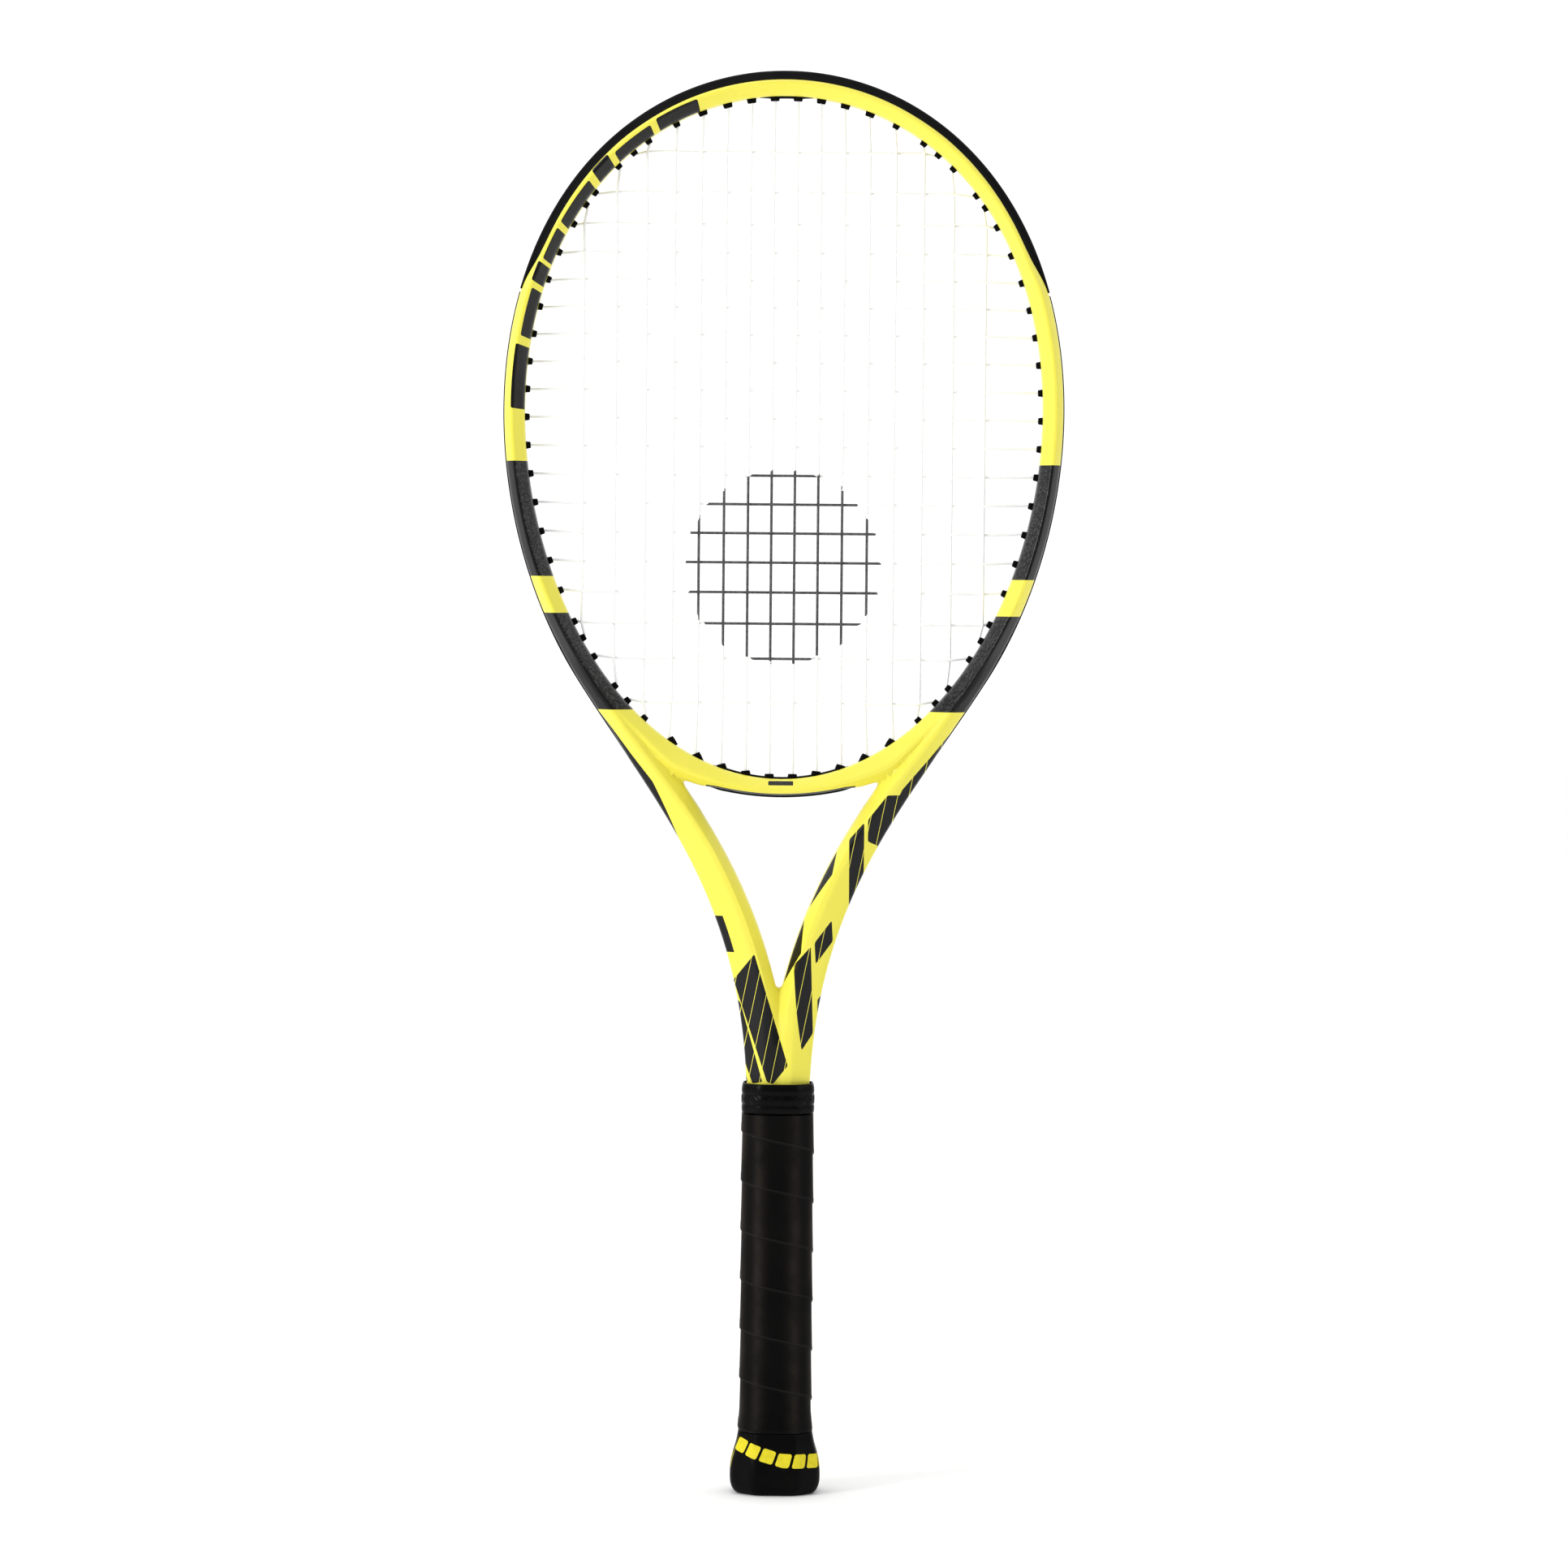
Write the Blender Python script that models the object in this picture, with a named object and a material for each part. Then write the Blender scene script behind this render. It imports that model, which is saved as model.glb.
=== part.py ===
"""Tennis racket standing on its butt: hollow frame, bridge, guards, strings, handle and collar.

+Z runs up the handle's axis, +X lies to the right across the strings, and -Y is the front.
The origin is the centre of the butt's end. Sizes are millimetres until a mesh is made.
"""
import math
from collections import namedtuple

import bmesh
import bpy
from mathutils import Vector

MM = 0.001
GAP = 0.3
BISECTIONS = 40

# Hoop: two egg-shaped outlines. An angle is counted from the top of the hoop.
Egg = namedtuple("Egg", "half_width half_height centre_z taper fullness")
OUTER_EGG = Egg(136.0, 178.3, 507.5, 0.0798, 0.0101)
INNER_EGG = Egg(125.9, 164.1, 509.6, 0.0734, 0.0124)
HOOP_STEP = 6.5
HOOP_STEPS = 20
GUARD_STEPS = 10
STRIP_START = 65.6

# Shafts: each outer edge is one Bezier curve that leaves the hoop and ends upright.
SHAFT_START_PULL = 72.0
SHAFT_END_PULL = 102.0
SHAFT_END = (15.1, 185.2)
SHAFT_SHARE = 0.95
SHAFT_STEPS = 11
SHAFT_WIDTH_AT_YOKE = 13.6
SHAFT_WIDENING = 0.043
YOKE_Z = 371.0
FLATTEN_Z = 245.0
FLATTEN_FADE = 30.0

# Tube ends inside the handle.
LEG_HALF_SPAN = 12.2
LEG_TOP = 186.0
LEG_BOTTOM = 4.0
LEG_HALF_DEPTH = 9.0
LEG_CLEARANCE = 0.35
LEG_FIT = 0.4
LEG_HOLE_FLAT = 7.6
LEG_HOLE_SIDE = 5.3

# Cross-section of the tube, measured inwards from its outline and forwards from its middle.
HALF_DEPTH_TOP = 11.5
HALF_DEPTH_SIDE_GAIN = 1.5
HALF_DEPTH_SHAFT = 11.0
CREST_SHARE = 0.40
OUTER_WALL_SHARE = 0.55
INNER_WALL_SHARE = 0.42
LEG_WALL_SHARE = 0.85
GROOVE_DEPTH = 3.0
GROOVE_HALF_FLOOR = 3.3
GROOVE_HALF_LIP = 3.6
GROOVE_END_Z = 325.0
GROOVE_FADE = 20.0
WALL = 1.5
CREST_WALL = 2.4
HOLLOW_CREST_SHIFT = 0.2
HOLLOW_FLOOR_MARGIN = 0.7

# Guard, strips and their barrels.
GUARD_RECESS = 2.5
GUARD_END_RECESS = 1.2
PLATE_OUTER = 1.8
PLATE_INNER = 2.7
PLATE_HALF_WIDTH = 3.0
CHANNEL_HALF_WIDTH = 2.2
CHANNEL_LIP = 0.2
GUARD_CROWN = 1.4
GUARD_SHOULDER = 0.3
GUARD_SHOULDER_SHARE = 0.25
STRIP_END_Z = 352.0
BARREL_PROTRUSION = 1.2
MOUTH_LEAD = 0.8
HOLE_LEAD = 5.0
HOLE_OVERRUN = 4.0
BARREL_HALF = 1.5
BORE_HALF = 0.9
BORE_MARGIN = 1.0
HOLE_HALF = 1.8

# Bridge between the shafts.
BRIDGE_LOW_Z = 336.6
BRIDGE_ARCH = 0.003686
BRIDGE_LOW_REACH = 47.2
BRIDGE_HIGH_REACH = 63.4
BRIDGE_HALF_DEPTH = 10.5
BRIDGE_MIDDLE_REACH = 53.0
BRIDGE_STEPS = 6
BRIDGE_STRIP_SHARE = 0.975
BRIDGE_MAIN_REACH = 56.0
BRIDGE_FAN = 0.00376

# Strings. Mains pass through the frame just in front of its middle plane, crosses just behind it.
STRING_HALF = 0.6
STRING_DEPTH = 0.9
WEAVE = 0.8
MAINS_PER_SIDE = 8
MAIN_SPACING = 11.2
MAIN_SPREAD = 0.030
CROSSES_PER_SIDE = 9
CROSS_MIDDLE_Z = 518.9
CROSS_SPACING = 13.55
CROSS_BOW = 0.055
CROSS_END_SPREAD = 10.4
RIM_MARGIN = 4.0
STRING_TAIL = 0.35

# Handle: octagons, each offset inwards from the grip's outside.
GRIP_FLAT_HALF = 8.8
GRIP_HALF_WIDTH = 17.2
GRIP_HALF_DEPTH = 15.0
GRIP_SIDE_HALF = 7.5
CORNER_SHRINK = 0.41
GRIP_BOTTOM = 30.0
GRIP_SHOULDER = 183.6
GRIP_TOP = 190.0
PALLET_BOTTOM = 2.8
PALLET_TOP = 185.7
PALLET_OFFSET = 2.0
PALLET_NECK_OFFSET = 3.3
CAP_TOP = 40.0
CAP_INSIDE = 3.0
CAP_FLOOR = 2.5
CAP_LIP_OFFSET = 1.25
GRIP_FOOT_OFFSET = -0.8
GRIP_INSIDE = 1.7
COLLAR_BOTTOM = 184.5
COLLAR_TOP = 198.7
BADGE_RADIUS = 10.7
BADGE_THICKNESS = 0.8
BADGE_Z = 0.5
BADGE_CHAMFER = 0.4
BADGE_SEGMENTS = 32
STAPLE_Z = 36.8
STAPLE_HALF_CROWN = 4.5
STAPLE_WIRE = 0.7
STAPLE_CROWN = 0.4
STAPLE_REACH = 3.0
STAPLE_SETBACK = 0.05

Station = namedtuple("Station", "x z in_x in_z thickness recess half_depth groove wall_share")
Mouth = namedtuple("Mouth", "x z dir_x dir_z")
Meeting = namedtuple("Meeting", "reach place point")

PAINT = ("yellow_paint", (0.91, 0.82, 0.10), 0.22, 0.0)
NYLON = ("black_nylon", (0.020, 0.020, 0.022), 0.45, 0.0)
STRING = ("string_nylon", (0.78, 0.77, 0.72), 0.35, 0.0)
FOAM = ("pallet_foam", (0.62, 0.55, 0.40), 0.80, 0.0)
CAP = ("cap_plastic", (0.025, 0.025, 0.027), 0.40, 0.0)
STEEL = ("staple_steel", (0.62, 0.62, 0.63), 0.30, 1.0)
LEATHER = ("grip_leather", (0.028, 0.026, 0.025), 0.55, 0.0)
TAPE = ("tape_vinyl", (0.05, 0.05, 0.05), 0.50, 0.0)
RUBBER = ("collar_rubber", (0.018, 0.018, 0.018), 0.60, 0.0)


# ---------------------------------------------------------------- scene and materials

def clear_scene():
    for old in list(bpy.data.objects):
        bpy.data.objects.remove(old, do_unlink=True)


def make_material(spec):
    name, colour, roughness, metallic = spec
    material = bpy.data.materials.get(name)
    if material is None:
        material = bpy.data.materials.new(name)
        material.use_nodes = True
        shader = material.node_tree.nodes["Principled BSDF"]
        shader.inputs["Base Color"].default_value = (*colour, 1.0)
        shader.inputs["Roughness"].default_value = roughness
        shader.inputs["Metallic"].default_value = metallic
    return material


def make_object(name, shape, spec):
    """Turn a bmesh into a named object with outward faces."""
    bmesh.ops.recalc_face_normals(shape, faces=shape.faces)
    mesh = bpy.data.meshes.new(name)
    shape.to_mesh(mesh)
    shape.free()
    mesh.materials.append(make_material(spec))
    piece = bpy.data.objects.new(name, mesh)
    bpy.context.collection.objects.link(piece)
    return piece


def make_cutter(name, shape):
    cutter = make_object(name, shape, FOAM)
    cutter.hide_render = True
    cutter.display_type = "WIRE"
    return cutter


def combine(piece, cutter, operation):
    modifier = piece.modifiers.new(f"{operation.lower()}_{cutter.name}", "BOOLEAN")
    modifier.operation = operation
    modifier.object = cutter


# ---------------------------------------------------------------- lofted shapes

def add_rings(shape, rings):
    """Add rings of points, each joined to the next by quads, and give back their vertices."""
    loops = [[shape.verts.new(Vector(point) * MM) for point in ring] for ring in rings]
    for near, far in zip(loops, loops[1:]):
        join_loops(shape, near, far)
    return loops


def join_loops(shape, near, far):
    for index in range(len(near)):
        after = (index + 1) % len(near)
        shape.faces.new((near[index], near[after], far[after], far[index]))


def loft_solid(rings):
    shape = bmesh.new()
    loops = add_rings(shape, rings)
    shape.faces.new(loops[0])
    shape.faces.new(loops[-1])
    return shape


def loft_sleeve(rings):
    """Rings that go up the outside and down the inside of a sleeve with open ends."""
    shape = bmesh.new()
    loops = add_rings(shape, rings)
    join_loops(shape, loops[-1], loops[0])
    return shape


def loft_tube(outer_rings, inner_rings):
    """A bent tube with a hollow whose rings have fewer points than the outside."""
    shape = bmesh.new()
    outer = add_rings(shape, outer_rings)
    inner = add_rings(shape, inner_rings)
    for end in (0, -1):
        close_wall(shape, outer[end], inner[end])
    return shape


def close_wall(shape, outer, inner):
    """Join the tube's wall at one end: each outer corner goes to its nearest inner corner."""
    partners = [min(inner, key=lambda vert: (vert.co - corner.co).length) for corner in outer]
    for index, corner in enumerate(outer):
        before = outer[index - 1]
        if partners[index] is partners[index - 1]:
            shape.faces.new((before, corner, partners[index]))
        else:
            shape.faces.new((before, corner, partners[index], partners[index - 1]))


def add_bar(shape, start, direction, lengths, half, middle_y):
    """A square bar in the plane of the strings; its two sides may differ in length."""
    side = (-direction[1], direction[0])
    corners = ((-half, -half), (half, -half), (half, half), (-half, half))
    rings = []
    for reaches in ((0.0, 0.0), lengths):
        ring = []
        for across, deep in corners:
            reach = reaches[0] if across < 0 else reaches[1]
            ring.append((start[0] + direction[0] * reach + side[0] * across, middle_y + deep,
                         start[1] + direction[1] * reach + side[1] * across))
        rings.append(ring)
    loops = add_rings(shape, rings)
    shape.faces.new(loops[0])
    shape.faces.new(loops[-1])


# ---------------------------------------------------------------- outline of hoop and shafts

def egg_point(egg, angle):
    bulge = 1 + egg.taper * math.cos(angle) + egg.fullness * math.cos(2 * angle)
    return egg.half_width * math.sin(angle) * bulge, egg.centre_z + egg.half_height * math.cos(angle)


def unit(x, z):
    length = math.hypot(x, z)
    return x / length, z / length


def egg_tangent(egg, angle):
    before = egg_point(egg, angle - 1e-4)
    after = egg_point(egg, angle + 1e-4)
    return unit(after[0] - before[0], after[1] - before[1])


def depth_to_inner_egg(x, z, tangent, low, high):
    """How far the inner egg lies from (x, z), square to the tangent, between two angles."""
    for _ in range(BISECTIONS):
        middle = 0.5 * (low + high)
        near = egg_point(INNER_EGG, middle)
        ahead = (near[0] - x) * tangent[0] + (near[1] - z) * tangent[1]
        if ahead > 0:
            high = middle
        else:
            low = middle
    return math.hypot(near[0] - x, near[1] - z)


def guard_recess(degrees):
    if degrees >= STRIP_START:
        return 0.0
    if degrees >= HOOP_STEP * GUARD_STEPS:
        return GUARD_END_RECESS
    return GUARD_RECESS


def hoop_half_depth(angle):
    return HALF_DEPTH_TOP + HALF_DEPTH_SIDE_GAIN * math.sin(angle) ** 2


def hoop_station(degrees):
    angle = math.radians(degrees)
    x, z = egg_point(OUTER_EGG, angle)
    tangent = egg_tangent(OUTER_EGG, angle)
    reach = math.radians(30)
    low = max(angle - reach, -reach)
    thickness = depth_to_inner_egg(x, z, tangent, low, angle + reach)
    return Station(x, z, tangent[1], -tangent[0], thickness, guard_recess(degrees),
                   hoop_half_depth(angle), GROOVE_DEPTH, INNER_WALL_SHARE)


def bezier(share, points):
    """Point and direction on a cubic Bezier curve."""
    rest = 1 - share
    weights = (rest ** 3, 3 * rest * rest * share, 3 * rest * share * share, share ** 3)
    slopes = (-rest * rest, rest * rest - 2 * rest * share, 2 * rest * share - share * share,
              share * share)
    place = [sum(w * p[axis] for w, p in zip(weights, points)) for axis in (0, 1)]
    slope = [sum(w * p[axis] for w, p in zip(slopes, points)) for axis in (0, 1)]
    return place, unit(*slope)


def shaft_curve():
    last = math.radians(HOOP_STEP * HOOP_STEPS)
    start = egg_point(OUTER_EGG, last)
    tangent = egg_tangent(OUTER_EGG, last)
    first_pull = (start[0] + tangent[0] * SHAFT_START_PULL, start[1] + tangent[1] * SHAFT_START_PULL)
    second_pull = (SHAFT_END[0], SHAFT_END[1] + SHAFT_END_PULL)
    return start, first_pull, second_pull, SHAFT_END


def clamp(value, low=0.0, high=1.0):
    return max(low, min(high, value))


def shaft_station(share, points):
    (x, z), tangent = bezier(share, points)
    in_x, in_z = tangent[1], -tangent[0]
    to_egg = depth_to_inner_egg(x, z, tangent, math.radians(90), math.radians(180))
    width = SHAFT_WIDTH_AT_YOKE + SHAFT_WIDENING * max(0.0, YOKE_Z - z)
    thickness = min(to_egg, width, (x - LEG_CLEARANCE) / abs(in_x))
    blend = share / SHAFT_SHARE
    start_depth = hoop_half_depth(math.radians(HOOP_STEP * HOOP_STEPS))
    half_depth = start_depth + (HALF_DEPTH_SHAFT - start_depth) * blend
    groove = GROOVE_DEPTH * clamp((z - GROOVE_END_Z) / GROOVE_FADE)
    flatness = clamp((FLATTEN_Z - z) / FLATTEN_FADE)
    wall_share = INNER_WALL_SHARE + (LEG_WALL_SHARE - INNER_WALL_SHARE) * flatness
    return Station(x, z, in_x, in_z, thickness, 0.0, half_depth, groove, wall_share)


def leg_station(z):
    return Station(LEG_HALF_SPAN, z, -1.0, 0.0, LEG_HALF_SPAN - LEG_CLEARANCE, 0.0,
                   LEG_HALF_DEPTH, 0.0, LEG_WALL_SHARE)


def hoop_stations():
    degrees = [HOOP_STEP * step for step in range(HOOP_STEPS + 1)]
    degrees.insert(GUARD_STEPS + 1, STRIP_START)
    return [hoop_station(value) for value in degrees]


def shaft_stations():
    points = shaft_curve()
    shares = [SHAFT_SHARE * step / SHAFT_STEPS for step in range(1, SHAFT_STEPS + 1)]
    return [shaft_station(share, points) for share in shares]


def bridge_low_z(x):
    return BRIDGE_LOW_Z + BRIDGE_ARCH * x * x


def inner_egg_low_angle(x):
    """Angle on the lower half of the inner egg where its half-width is x."""
    low, high = math.radians(95), math.radians(180)
    for _ in range(BISECTIONS):
        middle = 0.5 * (low + high)
        if egg_point(INNER_EGG, middle)[0] > x:
            low = middle
        else:
            high = middle
    return middle


def bridge_station(x):
    """A station square to the bridge's lower edge, for x to the right of the middle."""
    z = bridge_low_z(x)
    run = unit(1.0, 2 * BRIDGE_ARCH * x)
    back = (-run[0], -run[1])
    thickness = depth_to_inner_egg(x, z, back, math.radians(90), math.radians(200))
    return Station(x, z, -run[1], run[0], thickness, 0.0, BRIDGE_HALF_DEPTH, GROOVE_DEPTH,
                   INNER_WALL_SHARE)


def bridge_end_station(x, high_x):
    """A slanted station near the shaft, from the lower edge at x to the upper edge at high_x."""
    z = bridge_low_z(x)
    high_z = egg_point(INNER_EGG, inner_egg_low_angle(high_x))[1]
    in_x, in_z = unit(high_x - x, high_z - z)
    return Station(x, z, in_x, in_z, math.hypot(high_x - x, high_z - z), 0.0,
                   BRIDGE_HALF_DEPTH, GROOVE_DEPTH, INNER_WALL_SHARE)


def bridge_stations():
    """Stations from the left shaft to the right one; all but two at each end carry the strip."""
    strip_reach = BRIDGE_LOW_REACH * BRIDGE_STRIP_SHARE
    right = [bridge_station(strip_reach * step / BRIDGE_STEPS) for step in range(BRIDGE_STEPS + 1)]
    right.append(bridge_end_station(0.5 * (strip_reach + BRIDGE_LOW_REACH), BRIDGE_MIDDLE_REACH))
    right.append(bridge_end_station(BRIDGE_LOW_REACH, BRIDGE_HIGH_REACH))
    left = [station._replace(x=-station.x, in_x=-station.in_x) for station in reversed(right[1:])]
    return left + right


HOOP = hoop_stations()
SIDE = HOOP + shaft_stations()
BRIDGE = bridge_stations()


# ---------------------------------------------------------------- cross-sections

def place(station, section, mirror=1):
    """Set a section of (depth below the outline, forward) points at a station."""
    ring = []
    for depth, forward in section:
        ring.append((mirror * (station.x + station.in_x * depth), forward,
                     station.z + station.in_z * depth))
    return ring


def crest_depth(station):
    return station.recess + CREST_SHARE * (station.thickness - station.recess)


def tube_section(station):
    floor = station.recess + station.groove
    wall = OUTER_WALL_SHARE * station.half_depth
    crest = crest_depth(station)
    inner = station.wall_share * station.half_depth
    front = [(floor, GROOVE_HALF_FLOOR), (station.recess, GROOVE_HALF_LIP), (station.recess, wall),
             (crest, station.half_depth), (station.thickness, inner)]
    back = [(depth, -forward) for depth, forward in reversed(front)]
    return front + back


def hollow_section(station):
    near = station.recess + station.groove + WALL
    crest = max(crest_depth(station) + HOLLOW_CREST_SHIFT, near)
    inner = station.wall_share * station.half_depth - GAP
    front = [(near, GROOVE_HALF_FLOOR + HOLLOW_FLOOR_MARGIN), (crest, station.half_depth - CREST_WALL),
             (station.thickness - WALL, inner)]
    back = [(depth, -forward) for depth, forward in reversed(front)]
    return front + back


def guard_section(station):
    recess = station.recess
    edge = OUTER_WALL_SHARE * station.half_depth - GAP
    front = [(recess + PLATE_INNER, PLATE_HALF_WIDTH), (recess - GAP, PLATE_HALF_WIDTH),
             (recess - GAP, edge), (GUARD_SHOULDER_SHARE * recess, edge - GUARD_SHOULDER),
             (0.0, edge - GUARD_CROWN), (0.0, CHANNEL_HALF_WIDTH + CHANNEL_LIP),
             (recess + PLATE_OUTER, CHANNEL_HALF_WIDTH)]
    back = [(depth, -forward) for depth, forward in reversed(front)]
    return front + back


def strip_section(station):
    recess = station.recess
    return [(recess + PLATE_INNER, PLATE_HALF_WIDTH), (recess + PLATE_OUTER, PLATE_HALF_WIDTH),
            (recess + PLATE_OUTER, -PLATE_HALF_WIDTH), (recess + PLATE_INNER, -PLATE_HALF_WIDTH)]


def both_sides(stations, section):
    """Rings from the left end of a list of stations, over the top, to the right end."""
    left = [place(station, section(station), -1) for station in reversed(stations[1:])]
    return left + [place(station, section(station)) for station in stations]


# ---------------------------------------------------------------- where the strings pass

def main_x(number):
    middle = number - 0.5
    return MAIN_SPACING * middle + MAIN_SPREAD * middle ** 3


def cross_z(row):
    """Height of a cross, with row 0 in the middle and positive rows above it."""
    spread = CROSS_END_SPREAD * (row / CROSSES_PER_SIDE) ** 9
    return CROSS_MIDDLE_Z + CROSS_SPACING * row + spread - CROSS_BOW * row * row


def mouth_before(rim, direction):
    """Where a string bends, just before a barrel that stands proud of the rim."""
    lead = BARREL_PROTRUSION + MOUTH_LEAD
    return Mouth(rim[0] - direction[0] * lead, rim[1] - direction[1] * lead, *direction)


def hoop_mouth(angle):
    tangent = egg_tangent(INNER_EGG, angle)
    return mouth_before(egg_point(INNER_EGG, angle), (-tangent[1], tangent[0]))


def main_top_mouth(number):
    low, high = 0.0, math.radians(80)
    for _ in range(BISECTIONS):
        middle = 0.5 * (low + high)
        if egg_point(INNER_EGG, middle)[0] < main_x(number):
            low = middle
        else:
            high = middle
    return hoop_mouth(middle)


def main_bottom_mouth(number):
    x = main_x(number)
    angle = inner_egg_low_angle(x)
    if x > BRIDGE_MAIN_REACH:
        return hoop_mouth(angle)
    rim = egg_point(INNER_EGG, angle)
    exit_x = x * (1 - BRIDGE_FAN * x)
    return mouth_before(rim, unit(exit_x - rim[0], bridge_low_z(exit_x) - rim[1]))


def cross_mouth(row):
    return hoop_mouth(math.acos((cross_z(row) - INNER_EGG.centre_z) / INNER_EGG.half_height))


NUMBERS = range(1, MAINS_PER_SIDE + 1)
ROWS = range(-CROSSES_PER_SIDE, CROSSES_PER_SIDE + 1)
MAIN_TOPS = {number: main_top_mouth(number) for number in NUMBERS}
MAIN_BOTTOMS = {number: main_bottom_mouth(number) for number in NUMBERS}
CROSS_ENDS = {row: cross_mouth(row) for row in ROWS}
BRIDGE_NUMBERS = [number for number in NUMBERS if main_x(number) <= BRIDGE_MAIN_REACH]
SHOULDER_NUMBERS = [number for number in NUMBERS if main_x(number) > BRIDGE_MAIN_REACH]


def offset_line(stations, depth):
    """Points at a depth below the tube's own outer wall, one at each station."""
    return [(s.x + s.in_x * (s.recess + depth), s.z + s.in_z * (s.recess + depth)) for s in stations]


def meet(line, mouth):
    """Where a mouth's axis crosses a line: its distance, its place on the line and the point."""
    for index, (start, end) in enumerate(zip(line, line[1:])):
        run_x, run_z = end[0] - start[0], end[1] - start[1]
        turn = mouth.dir_x * run_z - mouth.dir_z * run_x
        if abs(turn) < 1e-9:
            continue
        off_x, off_z = start[0] - mouth.x, start[1] - mouth.z
        reach = (off_x * run_z - off_z * run_x) / turn
        share = (off_x * mouth.dir_z - off_z * mouth.dir_x) / turn
        if reach > 0 and 0 <= share <= 1:
            point = (mouth.x + mouth.dir_x * reach, mouth.z + mouth.dir_z * reach)
            return Meeting(reach, index + share, point)
    raise ValueError("a string misses the frame")


def walk(line, start, end):
    """The line's own corners between two places on it, in the order they are passed."""
    between = [index for index in range(len(line)) if min(start, end) < index < max(start, end)]
    if end < start:
        between.reverse()
    return [line[index] for index in between]


def mirrored(mouth, side):
    return Mouth(mouth.x * side, mouth.z, mouth.dir_x * side, mouth.dir_z)


def side_mouths():
    """Every mouth on the right side of the hoop, with how far back its string lies."""
    found = [(MAIN_TOPS[number], -WEAVE) for number in NUMBERS]
    found += [(MAIN_BOTTOMS[number], -WEAVE) for number in SHOULDER_NUMBERS]
    found += [(CROSS_ENDS[row], WEAVE) for row in ROWS]
    return found


def guard_mouths():
    limit = GUARD_STEPS + 0.5
    line = offset_line(SIDE, STRING_DEPTH)
    return [(mouth, y) for mouth, y in side_mouths() if meet(line, mouth).place < limit]


def strip_mouths():
    guarded = guard_mouths()
    return [pair for pair in side_mouths() if pair not in guarded]


def bridge_mouths(side):
    return [(mirrored(MAIN_BOTTOMS[number], side), -WEAVE) for number in BRIDGE_NUMBERS]


# ---------------------------------------------------------------- frame, guards and strips

def add_bars(shape, mouths, line, half, lead, extra, side=1):
    """Square bars on the axes of some mouths, from lead before each mouth to past the line."""
    for mouth, y in mouths:
        start = (side * (mouth.x - mouth.dir_x * lead), mouth.z - mouth.dir_z * lead)
        length = lead + meet(line, mouth).reach + extra
        add_bar(shape, start, (side * mouth.dir_x, mouth.dir_z), (length, length), half, y)


def add_barrel_bars(shape, mouths, line, side):
    """Bars that end on the plate's middle line, whatever their slant to it."""
    for mouth, y in mouths:
        lengths = []
        for across in (-BARREL_HALF * side, BARREL_HALF * side):
            edge = mouth._replace(x=mouth.x - mouth.dir_z * across, z=mouth.z + mouth.dir_x * across)
            lengths.append(meet(line, edge).reach - MOUTH_LEAD)
        start = (side * (mouth.x + mouth.dir_x * MOUTH_LEAD), mouth.z + mouth.dir_z * MOUTH_LEAD)
        add_bar(shape, start, (side * mouth.dir_x, mouth.dir_z), lengths, BARREL_HALF, y)


def make_frame_tube():
    legs = [leg_station(LEG_TOP), leg_station(LEG_BOTTOM)]
    stations = SIDE + legs
    shape = loft_tube(both_sides(stations, tube_section), both_sides(stations, hollow_section))
    tube = make_object("frame_tube", shape, PAINT)
    holes = bmesh.new()
    line = offset_line(SIDE, GROOVE_DEPTH)
    for side in (1, -1):
        add_bars(holes, side_mouths(), line, HOLE_HALF, 0.0, HOLE_OVERRUN, side)
    combine(tube, make_cutter("cut_tube_holes", holes), "DIFFERENCE")


def make_bridge():
    shape = loft_solid([place(station, tube_section(station)) for station in BRIDGE])
    bridge = make_object("throat_bridge", shape, PAINT)
    holes = bmesh.new()
    line = offset_line(BRIDGE, GROOVE_DEPTH)
    add_bars(holes, bridge_mouths(1) + bridge_mouths(-1), line, HOLE_HALF, HOLE_LEAD, HOLE_OVERRUN)
    combine(bridge, make_cutter("cut_bridge_holes", holes), "DIFFERENCE")


def add_barrels(strip, sets):
    """Join barrels to a strip and bore them; sets are (mouths, stations, side)."""
    barrels = bmesh.new()
    bores = bmesh.new()
    for mouths, stations, side in sets:
        plate_line = offset_line(stations, 0.5 * (PLATE_OUTER + PLATE_INNER))
        add_barrel_bars(barrels, mouths, plate_line, side)
        string_line = offset_line(stations, STRING_DEPTH)
        add_bars(bores, mouths, string_line, BORE_HALF, BORE_MARGIN, BORE_MARGIN, side)
    combine(strip, make_cutter(f"cut_{strip.name}_barrels", barrels), "UNION")
    combine(strip, make_cutter(f"cut_{strip.name}_bores", bores), "DIFFERENCE")


def make_bumper_guard():
    stations = HOOP[:GUARD_STEPS + 1]
    guard = make_object("bumper_guard", loft_solid(both_sides(stations, guard_section)), NYLON)
    add_barrels(guard, [(guard_mouths(), SIDE, 1), (guard_mouths(), SIDE, -1)])


def make_side_strip(name, side):
    stations = [station for station in SIDE[GUARD_STEPS + 1:] if station.z > STRIP_END_Z]
    rings = [place(station, strip_section(station), side) for station in stations]
    strip = make_object(name, loft_solid(rings), NYLON)
    add_barrels(strip, [(strip_mouths(), SIDE, side)])


def make_throat_strip():
    rings = [place(station, strip_section(station)) for station in BRIDGE[2:-2]]
    strip = make_object("grommet_strip_throat", loft_solid(rings), NYLON)
    add_barrels(strip, [(bridge_mouths(1) + bridge_mouths(-1), BRIDGE, 1)])


# ---------------------------------------------------------------- strings

def passing(x, z):
    """True where a main at x and a cross at z meet inside the hoop's mouths."""
    number = min(NUMBERS, key=lambda value: abs(main_x(value) - abs(x)))
    row = min(ROWS, key=lambda value: abs(cross_z(value) - z))
    return MAIN_BOTTOMS[number].z < z < MAIN_TOPS[number].z and abs(x) < CROSS_ENDS[row].x


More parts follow.
